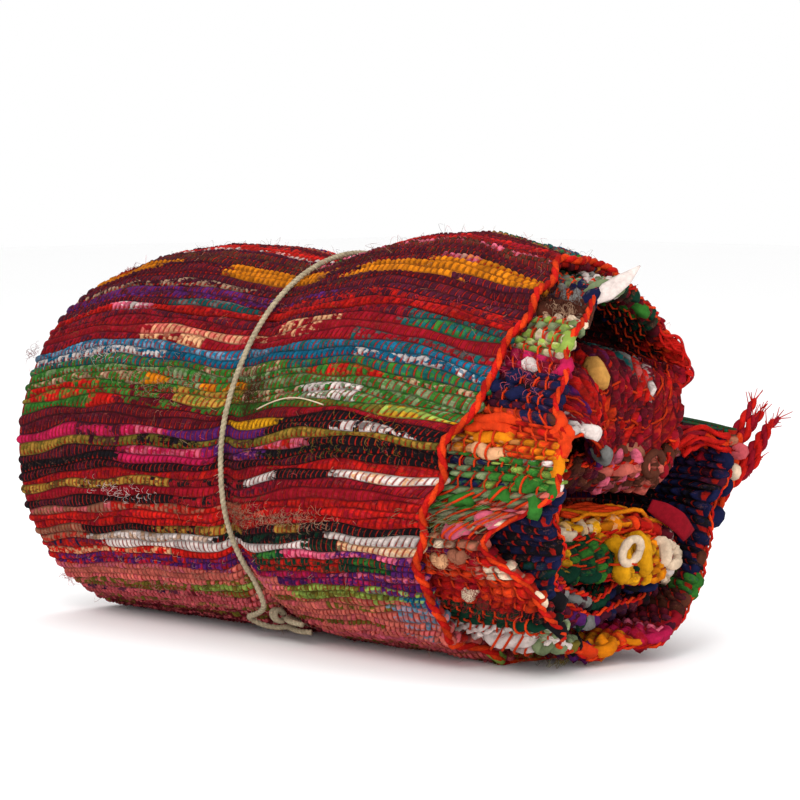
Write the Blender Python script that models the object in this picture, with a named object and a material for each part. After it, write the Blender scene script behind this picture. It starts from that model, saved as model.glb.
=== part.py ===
# Rolled rag-weave rug: one long rug folded lengthwise, rolled up loosely and tied round its
# middle with twine. X runs along the roll, +X is the open end with the two selvedges, the
# twine's bow lies at the -Y side, and the roll rests on z = 0. The tables and functions work in
# the roll's own frame, with the nominal roll's axis over the X axis; the last step moves the
# middle of the whole footprint to the origin.
from math import cos, pi, sin

import bmesh
import bpy
import numpy as np
from mathutils import Vector

# Driving dimensions in metres
PLY = 0.0095            # thickness of the woven cloth
PLY_GAP = 0.002         # air between the two plies of the lengthwise fold
NEAR_END = 0.215        # nominal plane of the selvedges
FAR_END = -0.236        # outside of the lengthwise fold
ROLL_RADIUS = 0.1425    # outside of the roll at the near end
RESTING_DIP = 0.0042    # how far the round underside would pass the floor before it is flattened
SAG = 0.20              # widening of the lower half and narrowing of the upper half, near end
TWINE_X = 0.006         # plane of the twine
TWINE = 0.0040          # twine diameter
TWINE_CLEAR = 0.0018    # twine to cloth, all the way round
TOUCH = 0.0003          # air between touching pieces
CLOTH_STEPS = {"usual": 0.0210, "tight": 0.0110, "turn": 0.42}   # sections along the wound cloth
TWINE_STEPS = {"usual": 0.0165, "tight": 0.0058, "turn": 0.36}   # points along the twine

# The wound cloth seen from the near end, in millimetres from the roll's axis, from the free
# end inwards. across and up place the middle between the two plies. outer and inner tell how
# far the edge of the outer ply and of the inner ply pass the nominal plane of the selvedges.
WINDING = [
    # across, up, outer, inner
    (131, 15, 11, 11),
    (131, -12, 7, 9),
    (124, -44, 0, 10),
    (107, -76, -4, 14),
    (82, -102, -8, 26),
    (50, -121, -14, 36),
    (14, -130, -22, 34),
    (-22, -129, -26, 28),
    (-57, -118, -26, 46),
    (-87, -98, -22, 74),
    (-111, -70, -16, 62),
    (-126, -38, -6, 36),
    (-131, -6, 4, 96),
    (-130, 20, 12, 98),
    (-120, 52, 22, 82),
    (-100, 85, 26, 70),
    (-70, 111, 22, 58),
    (-35, 126, 10, 50),
    (2, 130, 0, 38),
    (41, 119, -4, 24),
    (75, 99, -4, 16),
    (97, 80, -2, 14),
    (101, 62, 2, 18),
    (88, 50, 8, 24),
    (62, 54, 12, 28),
    (26, 65, 14, 30),
    (-10, 70, 20, 36),
    (-42, 64, 26, 44),
    (-72, 49, 34, 56),
    (-95, 27, 48, 70),
    (-105, -4, 62, 82),
    (-98, -37, 64, 80),
    (-81, -65, 52, 64),
    (-55, -86, 40, 46),
    (-22, -97, 30, 34),
    (10, -96, 24, 26),
    (42, -89, 22, 20),
    (62, -76, 26, 20),
    (62, -60, 34, 24),
    (44, -51, 40, 30),
    (16, -49, 36, 26),
    (-16, -49, 24, 14),
    (-44, -46, 10, 2),
    (-64, -36, 2, -3),
    (-68, -20, 0, -4),
    (-54, -7, 4, -2),
    (-24, -8, 16, 8),
    (8, -10, 26, 18),
    (38, -8, 34, 26),
    (61, -2, 36, 28),
    (70, 13, 34, 26),
    (58, 28, 36, 28),
    (30, 36, 34, 28),
    (0, 40, 28, 22),
    (-15, 39, 22, 18),
]

# The roll's girth along its length: two bulges, drawn in by the twine, on the near end's radius.
GIRTH = [
    # along in metres, girth as a share of the near end's
    (-0.236, 0.915),
    (-0.210, 0.940),
    (-0.165, 0.985),
    (-0.110, 1.005),
    (-0.055, 0.995),
    (TWINE_X, 0.970),
    (0.045, 1.010),
    (0.085, 1.040),
    (0.130, 1.055),
    (0.180, 1.030),
    (0.230, 0.990),
    (0.330, 0.965),
]
GIRTH_SOFT = 0.012      # the table's corners are evened out over this far either side
CINCH = 0.0045          # extra depth of the groove right under the twine
CINCH_WIDTH = 0.013     # half width of that groove
CINCH_LIFT = 1.9        # how far its underside lifts off the floor, in depths of the groove
GROOVE_FLAT = 0.0045    # half width of its flat bottom
WINDING_STEPS, WINDING_PASSES = 24, 40   # fine steps for each row of WINDING, smoothing passes
SPACING_PASSES = 30     # smoothing passes for the spacing of sections

# Sections of the folded cloth along X, dense round the twine's groove.
ALONG = [-0.185, -0.125, -0.065, -0.024, -0.008, TWINE_X - GROOVE_FLAT, TWINE_X + GROOVE_FLAT,
         0.020, 0.037, 0.085, 0.130, 0.175]
FOLD_STEPS = 4          # facets round the lengthwise fold

# The fringe: locks of knotted warp on a band along each cut end of the rug.
LOCK_PITCH = 0.021      # distance between locks
BAND_HEIGHT = 0.0045    # height of the band that the locks stand on
BAND_THICK = 0.0076     # thickness of that band
# A lock's heading is made up of its shares away from the cut end, outward from the roll and up.
# corner_up is the share up that it takes at the near corner, knot and tip are its widths.
OUTER_PLY_LOCKS = {"length": 0.056, "away": 0.0, "out": 0.95, "up": -0.35, "corner_up": 0.08,
                   "knot": 0.0078, "tip": 0.0032}
INNER_PLY_LOCKS = {"length": 0.052, "away": 0.0, "out": 1.00, "up": 0.0, "corner_up": 0.50,
                   "knot": 0.0074, "tip": 0.0030}
TUCKED_LOCKS = {"length": 0.026, "away": 1.0, "out": 0.0, "up": 0.0, "corner_up": 0.0,
                "knot": 0.0070, "tip": 0.0030}
LOCK_PARTS = (0.16, 0.14, 0.35, 0.35)   # lengths of a lock's four parts, as shares of its length
NECK, WAIST = 0.62, 0.58    # its widths before and after the knot, as shares of the knot's
LOCK_BEND = 0.55        # share of the final heading that each part takes up
LOCK_SPREAD = (0.82, 1.06)  # shortest and longest lock, as shares of the length
LOCK_LEAN = 0.06        # largest share sideways
CORNER_FROM = 0.120     # past here along X the free end's locks are swept to its near corner
CORNER_EASE = 0.06      # and reach their full sweep this much further on
CORNER_SWEEP = 0.38     # their share along X at the corner
NEAR_EASE = 0.03        # they take up corner_up over this stretch before the selvedges
FOLD_BARE = 0.030       # stretch of the band without locks next to the lengthwise fold
TWINE_BARE = 0.014      # and to either side of the twine
FLARE = 0.020           # how far the free end's near corner stands off the roll
FLARE_ACROSS, FLARE_UP, FLARE_ALONG = (0.108, 0.122), (-0.065, 0.015), (0.10, 0.225)   # where it sets in
SAG_POWER = 1.5         # how late along X the sag sets in

# The twine's bow on the roll's front: along in millimetres from the twine's plane, below in
# degrees under the horizontal, off in millimetres from the cloth. The free end comes first.
BOW_START = [
    # along, below, off
    (33, 56.0, 4.6),
    (22, 55.5, 4.8),
    (11, 57.0, 5.8),
    (3, 60.0, 5.8),
]
BOW_LOOP = [
    # along, below, off
    (3, 49.0, 8.0),
    (-4, 52.5, 9.8),
    (-14, 53.5, 7.6),
    (-23, 54.5, 6.0),
    (-28, 57.5, 5.0),
    (-24, 61.0, 5.0),
    (-14, 63.0, 6.4),
    (-3, 63.0, 10.4),
    (9, 61.5, 9.8),
    (20, 60.5, 6.4),
    (30, 61.0, 4.8),
]
WRAP_FROM, WRAP_TO = 66.0, 44.0   # degrees under the horizontal where the wrap starts and ends
WRAP_DRIFT = 0.0022     # the wrap's two ends lie this far either side of its plane
WRAP_DENSE, WRAP_PASSES, WRAP_EVERY = 400, 60, 5   # points, smoothing passes and the points kept
TWINE_FINE, TWINE_PASSES = 10, 8   # fine steps between its points, smoothing passes
SHARP_ANGLE = 0.9       # radians between faces that meet in a sharp edge

rng = np.random.default_rng(5)


def clear_scene():
    for obj in list(bpy.data.objects):
        bpy.data.objects.remove(obj, do_unlink=True)


def plain_material(name, colour, roughness):
    mat = bpy.data.materials.new(name)
    mat.use_nodes = True
    shader = mat.node_tree.nodes["Principled BSDF"]
    shader.inputs["Base Color"].default_value = (*colour, 1)
    shader.inputs["Roughness"].default_value = roughness
    return mat


def smooth_through(rows, per_row):
    """Catmull-Rom curve through the rows of a table, all columns at once."""
    p = np.array(rows, float)
    p = np.vstack([2 * p[0] - p[1], p, 2 * p[-1] - p[-2]])
    t = np.linspace(0, 1, per_row, endpoint=False)[:, None]
    out = []
    for a, b, c, d in zip(p[:-3], p[1:-2], p[2:-1], p[3:]):
        out.append(0.5 * (2 * b + (c - a) * t + (2 * a - 5 * b + 4 * c - d) * t**2
                          + (3 * b - a - 3 * c + d) * t**3))
    return np.vstack([*out, p[-2:-1]])


def softened(values, passes):
    """The same row of values or points, evened out between its two ends."""
    for _ in range(passes):
        values[1:-1] = 0.5 * values[1:-1] + 0.25 * (values[:-2] + values[2:])
    return values


def distance_along(line):
    return np.concatenate([[0], np.cumsum(np.linalg.norm(np.diff(line, axis=0), axis=1))])


def directions(line):
    ahead = np.gradient(line, axis=0)
    return ahead / np.linalg.norm(ahead, axis=1)[:, None]


def spaced(line, steps):
    """Distances along a line for its sections, closer together where it bends."""
    at = distance_along(line)
    bend = np.linalg.norm(np.gradient(directions(line), at, axis=0), axis=1)
    density = np.clip(bend / steps["turn"], 1 / steps["usual"], 1 / steps["tight"])
    density = softened(density, SPACING_PASSES)
    count = np.concatenate([[0], np.cumsum(np.diff(at) * 0.5 * (density[1:] + density[:-1]))])
    return np.interp(np.linspace(0, count[-1], round(count[-1]) + 1), count, at)


def read_off(values, at, where):
    return np.stack([np.interp(where, at, column) for column in values.T], axis=1)


def winding_sections():
    """Sections along the wound cloth: place, outward direction and the two edges' reach."""
    fine = softened(smooth_through(WINDING, WINDING_STEPS) / 1000, WINDING_PASSES)
    line, reach = fine[:, :2], fine[:, 2:]
    at, where = distance_along(line), spaced(line, CLOTH_STEPS)
    direction = read_off(directions(line), at, where)
    direction /= np.linalg.norm(direction, axis=1)[:, None]
    outward = np.stack([-direction[:, 1], direction[:, 0]], axis=1)
    return read_off(line, at, where), outward, direction, read_off(reach, at, where), at[-1]


def groove_at(x):
    """Depth of the groove under the twine."""
    return CINCH * np.exp(-((x - TWINE_X) / CINCH_WIDTH) ** 2)


def girth_at(x):
    table = np.array(GIRTH)
    share = np.interp(x, table[:, 0], table[:, 1])
    soft = [np.interp(x + d, table[:, 0], table[:, 1]) for d in (-GIRTH_SOFT, GIRTH_SOFT)]
    share = (share + soft[0] + soft[1]) / 3
    return share - groove_at(x) / ROLL_RADIUS


def axis_height(x):
    """Height of the roll's axis; the groove's underside lifts off the floor for the twine."""
    return girth_at(x) * ROLL_RADIUS - RESTING_DIP + CINCH_LIFT * groove_at(x)


def eased(value, low, high):
    t = np.clip((value - low) / (high - low), 0, 1)
    return t * t * (3 - 2 * t)


def place(x, across, up):
    """Point of the wound cloth from its neutral section to the roll's true shape."""
    k = girth_at(x)
    sag = SAG * np.clip((x - FAR_END) / (NEAR_END - FAR_END), 0, 1) ** SAG_POWER
    y = across * k * (1 - sag * np.clip(up / ROLL_RADIUS, -1, 1))
    y += FLARE * eased(across, *FLARE_ACROSS) * eased(up, *FLARE_UP) * eased(x, *FLARE_ALONG)
    z = axis_height(x) + up * k
    return Vector((x, y, max(z, 0.0)))


def folded_section(outer_edge, inner_edge):
    """Stations across both plies: (x, offset of one face, x, offset of the other face)."""
    half = PLY_GAP / 2
    fold_x = FAR_END + PLY + half
    rows = []
    for x in (outer_edge, *ALONG[::-1]):
        rows.append((x, half + PLY, x, half))
    for k in range(FOLD_STEPS + 1):
        a = pi / 2 + pi * k / FOLD_STEPS
        rows.append((fold_x + (half + PLY) * cos(a), (half + PLY) * sin(a),
                     fold_x + half * cos(a), half * sin(a)))
    for x in (*ALONG, min(outer_edge, (ALONG[-1] + inner_edge) / 2), inner_edge):
        rows.append((x, -half - PLY, x, -half))
    return rows


def rug_mesh():
    centre, outward, _, reach, _ = winding_sections()
    bm = bmesh.new()
    rings = []
    for c, n, edge in zip(centre, outward, reach):
        ring = []
        for x1, off1, x2, off2 in folded_section(NEAR_END + edge[0], NEAR_END + edge[1]):
            pair = [bm.verts.new(place(x, *(c + n * off))) for x, off in ((x1, off1), (x2, off2))]
            ring.append(pair)
        rings.append(ring)
    for a, b in zip(rings, rings[1:]):
        for (a1, a2), (a3, a4), (b1, b2), (b3, b4) in zip(a, a[1:], b, b[1:]):
            bm.faces.new((a1, a3, b3, b1))
            bm.faces.new((a4, a2, b2, b4))
        for k, flip in ((0, False), (-1, True)):
            quad = (a[k][1], a[k][0], b[k][0], b[k][1])
            bm.faces.new(quad[::-1] if flip else quad)
    for ring, flip in ((rings[0], False), (rings[-1], True)):
        for (p1, p2), (p3, p4) in zip(ring, ring[1:]):
            quad = (p1, p2, p4, p3)
            bm.faces.new(quad[::-1] if flip else quad)
    bmesh.ops.recalc_face_normals(bm, faces=bm.faces)
    return bm


def end_stations(edge):
    """Stations round the folded cloth's end: (x, offset, angle of its outer face's normal)."""
    half = PLY_GAP / 2 + PLY / 2
    fold_x = FAR_END + PLY + PLY_GAP / 2
    sides = []
    for off, angle, reach in ((half, pi / 2, edge[0]), (-half, 3 * pi / 2, edge[1])):
        steps = 2 * int((NEAR_END + reach - fold_x) / LOCK_PITCH) + 1
        xs = np.linspace(NEAR_END + reach, fold_x, steps + 1)
        sides.append([(x, off, angle) for x in xs])
    turn = [pi / 2 + pi * k / FOLD_STEPS for k in range(1, FOLD_STEPS)]
    return [*sides[0], *((fold_x + half * cos(a), half * sin(a), a) for a in turn), *sides[1][::-1]]


def lock_rings(root, frame, style):
    """Rings of four points up one lock, from its root quad along a bending path."""
    away, out, side = frame
    lean = rng.uniform(-LOCK_LEAN, LOCK_LEAN)
    stretch = rng.uniform(*LOCK_SPREAD)
    point, heading = sum(root, Vector()) / 4, away.copy()
    corner = 0 if style["away"] else eased(point.x, CORNER_FROM, CORNER_FROM + CORNER_EASE)
    near = eased(point.x, NEAR_END - NEAR_EASE, NEAR_END)
    up = style["up"] + (style["corner_up"] - style["up"]) * near
    goal = away * style["away"] + out * style["out"] + side * lean
    goal += Vector((CORNER_SWEEP * corner, 0, up))
    goal.normalize()
    rings = []
    widths = (style["knot"] * NECK, style["knot"], style["knot"] * WAIST, style["tip"])
    for share, width in zip(LOCK_PARTS, widths):
        heading = (heading * (1 - LOCK_BEND) + goal * LOCK_BEND).normalized()
        point = point + heading * style["length"] * stretch * share
        u = (side - heading * side.dot(heading)).normalized()
        v = heading.cross(u)
        corners = [point + (u * a + v * b) * width / 2 for a, b in ((-1, -1), (-1, 1), (1, 1), (1, -1))]
        rings.append(corners)
    return rings


def match(ring, root):
    """The ring's corners in the order of the root quad's corners."""
    middle, base = sum(ring, Vector()) / 4, sum(root, Vector()) / 4
    best = None
    for order in (ring, ring[::-1]):
        for k in range(4):
            turned = order[k:] + order[:k]
            gap = sum(((a - middle) - (b - base)).length for a, b in zip(turned, root))
            if best is None or gap < best[0]:
                best = (gap, turned)
    return best[1]


def fringe_mesh(centre, outward, direction, edge, styles):
    """Band along one cut end of the rug with its locks. direction runs from the end into the rug."""
    bm = bmesh.new()
    away = np.array(direction) * -1
    stations = end_stations(edge)
    rows = []
    for x, off, angle in stations:
        row = []
        for t, h in ((0.5, 0), (0.5, 1), (-0.5, 1), (-0.5, 0)):
            point = centre + outward * (off + t * BAND_THICK * sin(angle))
            point = point + away * (1.5 * TOUCH + h * BAND_HEIGHT)
            row.append(bm.verts.new(place(x + t * BAND_THICK * cos(angle), *point)))
        rows.append(row)
    fold_x = FAR_END + PLY + PLY_GAP / 2
    for k, (a, b) in enumerate(zip(rows, rows[1:])):
        for i in (0, 2, 3):
            bm.faces.new((a[i], b[i], b[(i + 1) % 4], a[(i + 1) % 4]))
        x = (stations[k][0] + stations[k + 1][0]) / 2
        outer = stations[k][1] > 0
        from_selvedge = k if outer else len(rows) - 2 - k
        has_lock = from_selvedge % 2 == (0 if outer else 1)
        if has_lock and x - fold_x > FOLD_BARE and abs(x - TWINE_X) > TWINE_BARE:
            root = [a[1], b[1], b[2], a[2]]
            side = (b[1].co - a[1].co).normalized()
            up = Vector((0, *away)).normalized()
            out = Vector((0, *outward)).normalized()
            style = styles[0] if outer else styles[1]
            for ring in lock_rings([v.co for v in root], (up, out, side), style):
                ring = [bm.verts.new(p) for p in match(ring, [v.co for v in root])]
                for i in range(4):
                    bm.faces.new((root[i], root[(i + 1) % 4], ring[(i + 1) % 4], ring[i]))
                root = ring
            bm.faces.new(root)
        else:
            bm.faces.new((a[1], b[1], b[2], a[2]))
    bm.faces.new(rows[0])
    bm.faces.new(rows[-1])
    bmesh.ops.recalc_face_normals(bm, faces=bm.faces)
    if bm.calc_volume(signed=True) < 0:
        bmesh.ops.reverse_faces(bm, faces=bm.faces)
    return bm


def convex_hull(points):
    """Convex hull of flat points, counter-clockwise."""
    points = sorted(map(tuple, points))
    chains = []
    for run in (points, points[::-1]):
        chain = []
        for p in run:
            while len(chain) > 1:
                (ax, ay), (bx, by) = chain[-2], chain[-1]
                if (bx - ax) * (p[1] - ay) - (by - ay) * (p[0] - ax) > 0:
                    break
                chain.pop()
            chain.append(p)
        chains += chain[:-1]
    return np.array(chains)


def on_skin(along, below, off):
    """Point at a distance off the roll's front, at an angle under the horizontal."""
    radius = ROLL_RADIUS + off
    return place(along, -radius * cos(below * pi / 180), -radius * sin(below * pi / 180))


def wrap_line(centre, outward, direction):
    """The twine's turn round the roll, from under the bow to over it."""
    skin = [c + n * (PLY_GAP / 2 + PLY) for c, n in zip(centre, outward)]
    band_top = centre[0] - direction[0] * (1.5 * TOUCH + BAND_HEIGHT)
    skin += [band_top + outward[0] * side * (PLY_GAP + PLY + BAND_THICK) / 2 for side in (-1, 1)]
    hull = convex_hull([place(TWINE_X, *point)[1:] for point in skin])
    closed = np.vstack([hull, hull[:1]])
    side = np.diff(closed, axis=0)
    facing = np.stack([side[:, 1], -side[:, 0]], axis=1) / np.linalg.norm(side, axis=1)[:, None]
    least = (facing * hull).sum(axis=1) + TWINE / 2 + TWINE_CLEAR
    at = distance_along(closed)
    loop = read_off(closed, at, np.linspace(0, at[-1], WRAP_DENSE, endpoint=False))
    for _ in range(WRAP_PASSES):
        before, after = np.roll(loop, 1, axis=0), np.roll(loop, -1, axis=0)
        loop = 0.5 * loop + 0.25 * (before + after)
        normal = np.stack([(after - before)[:, 1], -(after - before)[:, 0]], axis=1)
        normal /= np.linalg.norm(normal, axis=1)[:, None]
        inside = (least - loop @ facing.T).min(axis=1)
        loop += normal * np.maximum(inside, 0)[:, None]
    middle = (hull.min(axis=0) + hull.max(axis=0)) / 2
    below = np.degrees(np.arctan2(middle[1] - loop[:, 1], middle[0] - loop[:, 0]))
    past = (below - WRAP_FROM) % 360
    order = [i for i in np.argsort(past) if past[i] < (WRAP_TO - WRAP_FROM) % 360]
    drift = np.linspace(-WRAP_DRIFT, WRAP_DRIFT, len(order))
    return [(TWINE_X + d, *loop[i]) for d, i in zip(drift, order)]


def twine_points(centre, outward, direction):
    """Free end, once round the roll, the bow's loop and the other free end."""
    bow = [[tuple(on_skin(TWINE_X + along / 1000, below, off / 1000)) for along, below, off in table]
           for table in (BOW_START, BOW_LOOP)]
    wrap = wrap_line(centre, outward, direction)
    whole = smooth_through([*bow[0], *wrap[::WRAP_EVERY], *bow[1]], TWINE_FINE)
    whole = softened(whole, TWINE_PASSES)
    points = read_off(whole, distance_along(whole), spaced(whole, TWINE_STEPS))
    points[:, 2] = np.maximum(points[:, 2], TWINE / 2 + TOUCH)
    print("twine", len(points), "points,", round(distance_along(whole)[-1], 3), "m")
    return points


def twine_curve(material, points):
    curve = bpy.data.curves.new("twine", "CURVE")
    curve.dimensions = "3D"
    curve.bevel_depth = TWINE / 2
    curve.bevel_resolution = 2
    curve.use_fill_caps = True
    spline = curve.splines.new("POLY")
    spline.points.add(len(points) - 1)
    for point, place_at in zip(spline.points, points):
        point.co = (*place_at, 1)
    curve.materials.append(material)
    obj = bpy.data.objects.new("twine", curve)
    bpy.context.collection.objects.link(obj)
    return obj


def add_object(name, bm, material):
    mesh = bpy.data.meshes.new(name)
    bm.to_mesh(mesh)
    bm.free()
    mesh.materials.append(material)
    mesh.shade_smooth()
    mesh.set_sharp_from_angle(angle=SHARP_ANGLE)
    obj = bpy.data.objects.new(name, mesh)
    bpy.context.collection.objects.link(obj)
    return obj


def stand_over_origin(objects):
    """Move the middle of the whole footprint to the origin."""
    corners = np.array([v.co for obj in objects if obj.type == "MESH" for v in obj.data.vertices])
    middle = (corners.min(axis=0) + corners.max(axis=0)) / 2
    for obj in objects:
        obj.location = (-middle[0], -middle[1], 0)
    print("moved by", [round(-float(m), 5) for m in middle[:2]])


clear_scene()
centre, outward, direction, reach, length = winding_sections()
cloth = plain_material("rag_weave", (0.34, 0.05, 0.06), 0.9)
yarn = plain_material("warp_yarn", (0.55, 0.03, 0.03), 0.85)
jute = plain_material("jute_twine", (0.42, 0.33, 0.22), 0.9)
rug = add_object("rug", rug_mesh(), cloth)
outer_fringe = add_object("fringe_outer", fringe_mesh(centre[0], outward[0], direction[0], reach[0],
                                                      (OUTER_PLY_LOCKS, INNER_PLY_LOCKS)), yarn)
inner_fringe = add_object("fringe_inner", fringe_mesh(centre[-1], outward[-1], -direction[-1],
                                                      reach[-1], (TUCKED_LOCKS, TUCKED_LOCKS)), yarn)
twine = twine_curve(jute, twine_points(centre, outward, direction))
stand_over_origin([rug, outer_fringe, inner_fringe, twine])
print("wound length", round(length, 3), "m")
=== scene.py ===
from functools import partial
from math import cos, pi, radians, sin

import bpy
import numpy as np
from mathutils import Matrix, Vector


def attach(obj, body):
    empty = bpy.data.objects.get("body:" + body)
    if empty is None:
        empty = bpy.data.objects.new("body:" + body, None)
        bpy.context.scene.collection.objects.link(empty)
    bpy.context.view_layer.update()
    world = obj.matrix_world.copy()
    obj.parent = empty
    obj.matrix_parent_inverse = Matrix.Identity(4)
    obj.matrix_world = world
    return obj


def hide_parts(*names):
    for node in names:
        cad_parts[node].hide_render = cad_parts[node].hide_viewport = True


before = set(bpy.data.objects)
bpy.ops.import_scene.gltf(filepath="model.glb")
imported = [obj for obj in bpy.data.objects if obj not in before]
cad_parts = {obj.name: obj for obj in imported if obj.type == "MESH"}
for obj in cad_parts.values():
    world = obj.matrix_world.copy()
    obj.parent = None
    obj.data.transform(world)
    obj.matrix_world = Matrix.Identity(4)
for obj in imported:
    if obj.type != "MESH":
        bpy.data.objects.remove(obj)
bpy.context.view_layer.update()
rng = np.random.default_rng(21)

# The roll's form, in its own frame and in metres; place() shifts it to the row frame.
roll = {
    "ply": 0.0095,            # thickness of the woven cloth
    "plyGap": 0.002,          # air inside the lengthwise fold
    "nearEnd": 0.215,         # nominal plane of the selvedges
    "farEnd": -0.236,         # outside of the lengthwise fold
    "radius": 0.1425,
    "restingDip": 0.0042,
    "sag": 0.20,
    "flare": 0.020,
    "cinch": 0.0045,          # groove under the twine
    "cinchWidth": 0.013,
    "grooveLift": 1.9,
    "shift": np.array([-0.03943, -0.0263, 0.0]),
}


def chart(text):                    # one row a line: numbers and the names of rags
    rows = [line.split() for line in text.strip().splitlines()]
    return [[float(word) if word[-1].isdigit() else word for word in row] for row in rows]


# across and up in millimetres from the axis, free end first; how far the edge of the outer and
# of the inner ply passes the nominal plane
windingTable = chart("""
131 15 11 11
131 -12 7 9
124 -44 0 10
107 -76 -4 14
82 -102 -8 26
50 -121 -14 36
14 -130 -22 34
-22 -129 -26 28
-57 -118 -26 46
-87 -98 -22 74
-111 -70 -16 62
-126 -38 -6 36
-131 -6 4 96
-130 20 12 98
-120 52 22 82
-100 85 26 70
-70 111 22 58
-35 126 10 50
2 130 0 38
41 119 -4 24
75 99 -4 16
97 80 -2 14
101 62 2 18
88 50 8 24
62 54 12 28
26 65 14 30
-10 70 20 36
-42 64 26 44
-72 49 34 56
-95 27 48 70
-105 -4 62 82
-98 -37 64 80
-81 -65 52 64
-55 -86 40 46
-22 -97 30 34
10 -96 24 26
42 -89 22 20
62 -76 26 20
62 -60 34 24
44 -51 40 30
16 -49 36 26
-16 -49 24 14
-44 -46 10 2
-64 -36 2 -3
-68 -20 0 -4
-54 -7 4 -2
-24 -8 16 8
8 -10 26 18
38 -8 34 26
61 -2 36 28
70 13 34 26
58 28 36 28
30 36 34 28
0 40 28 22
-15 39 22 18
""")
twineX = 0.006
# girth along the roll, as a share of the near end's: two bulges with the twine between them
girthTable = np.array([
    (-0.236, 0.915), (-0.210, 0.940), (-0.165, 0.985), (-0.110, 1.005), (-0.055, 0.995),
    (twineX, 0.970), (0.045, 1.010), (0.085, 1.040), (0.130, 1.055), (0.180, 1.030),
    (0.230, 0.990), (0.330, 0.965),
])


def smoothThrough(rows, perRow):    # a soft curve through a table's rows, all columns at once
    p = np.array(rows, float)
    p = np.vstack([2 * p[0] - p[1], p, 2 * p[-1] - p[-2]])
    t = np.linspace(0, 1, perRow, endpoint=False)[:, None]
    out = [0.5 * (2 * b + (c - a) * t + (2 * a - 5 * b + 4 * c - d) * t**2 + (3 * b - a - 3 * c + d) * t**3)
           for a, b, c, d in zip(p[:-3], p[1:-2], p[2:-1], p[3:])]
    return np.vstack([*out, p[-2:-1]])


def softened(values, passes):
    for _ in range(passes):
        values[1:-1] = 0.5 * values[1:-1] + 0.25 * (values[:-2] + values[2:])
    return values


def distanceAlong(line):
    return np.concatenate([[0], np.cumsum(np.linalg.norm(np.diff(line, axis=0), axis=1))])


def directions(line):
    ahead = np.gradient(line, axis=0)
    return ahead / np.maximum(np.linalg.norm(ahead, axis=1), 1e-9)[:, None]


def readOff(values, at, where):
    return np.stack([np.interp(where, at, column) for column in values.T], axis=-1)


def eased(value, low, high):
    t = np.clip((value - low) / (high - low), 0, 1)
    return t * t * (3 - 2 * t)


def girthAt(x):
    share = sum(np.interp(x + d, girthTable[:, 0], girthTable[:, 1]) for d in (-0.012, 0, 0.012)) / 3
    return share - roll["cinch"] / roll["radius"] * np.exp(-((x - twineX) / roll["cinchWidth"]) ** 2)


def place(x, across, up):           # from the neutral section to the roll's true shape
    k = girthAt(x)
    along = (x - roll["farEnd"]) / (roll["nearEnd"] - roll["farEnd"])
    sag = roll["sag"] * np.clip(along, 0, 1) ** 1.5
    y = across * k * (1 - sag * np.clip(up / roll["radius"], -1, 1))
    y = y + roll["flare"] * eased(across, 0.108, 0.122) * eased(up, -0.065, 0.015) * eased(x, 0.10, 0.225)
    groove = roll["cinch"] * np.exp(-((x - twineX) / roll["cinchWidth"]) ** 2)
    z = k * roll["radius"] - roll["restingDip"] + roll["grooveLift"] * groove + up * k
    return np.stack([x + 0 * y, y, np.maximum(z, 0.0004)], axis=-1) + roll["shift"]


fineWinding = softened(smoothThrough(windingTable, 24) / 1000, 40)
windLine, windReach = fineWinding[:, :2], fineWinding[:, 2:]
windAt = distanceAlong(windLine)
windAhead = directions(windLine)
windOut = np.stack([-windAhead[:, 1], windAhead[:, 0]], axis=1)
woundLength = windAt[-1]
half = roll["plyGap"] / 2
foldX = roll["farEnd"] + roll["ply"] + half


def clothPoint(s, x, off):          # a point off the middle between the plies, at a distance s
    c = readOff(windLine, windAt, s)
    n = readOff(windOut, windAt, s)
    n /= np.linalg.norm(n, axis=-1)[..., None]
    return place(x, c[..., 0] + n[..., 0] * off, c[..., 1] + n[..., 1] * off)


def edgeAt(s, ply):                 # ply 0 is the outer one, 1 the inner one
    return roll["nearEnd"] + np.interp(s, windAt, windReach[:, ply])


def plyMiddle(ply):                 # a ply's middle, off the middle between the two
    return (half + roll["ply"] / 2) * (1 if ply == 0 else -1)


camera = {
    "azimuth": 46.42, "elevation": 4.9, "distance": 2.665,
    "aim": (-0.03943, -0.0263, 0.1374), "focalPixels": 3672.5, "shiftPixels": (43.9, 42.75),
    "framePixels": 800, "sensor": 36.0,
}
lights = {
    "world": ((1.0, 1.0, 1.0), 1.0),
    "key": {"at": (1.3, -2.3, 2.4), "size": 1.6, "power": 44.0},
    "fill": {"at": (2.3, -1.5, 0.7), "size": 1.6, "power": 44.0},
    "top": {"at": (-0.5, 0.3, 2.6), "size": 2.2, "power": 16.0},
    "floor": (0.97, 0.97, 0.97),
}


def addCamera():
    az, el = radians(camera["azimuth"]), radians(camera["elevation"])
    ahead = Vector((-sin(az) * cos(el), cos(az) * cos(el), -sin(el)))
    cam = bpy.data.cameras.new("camera")
    cam.sensor_width = camera["sensor"]
    cam.lens = camera["focalPixels"] / camera["framePixels"] * camera["sensor"]
    cam.shift_x, cam.shift_y = [shift / camera["framePixels"] for shift in camera["shiftPixels"]]
    obj = bpy.data.objects.new("camera", cam)
    obj.location = Vector(camera["aim"]) - ahead * camera["distance"]
    obj.rotation_euler = ahead.to_track_quat("-Z", "Y").to_euler()
    bpy.context.scene.collection.objects.link(obj)
    bpy.context.scene.camera = obj


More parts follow.
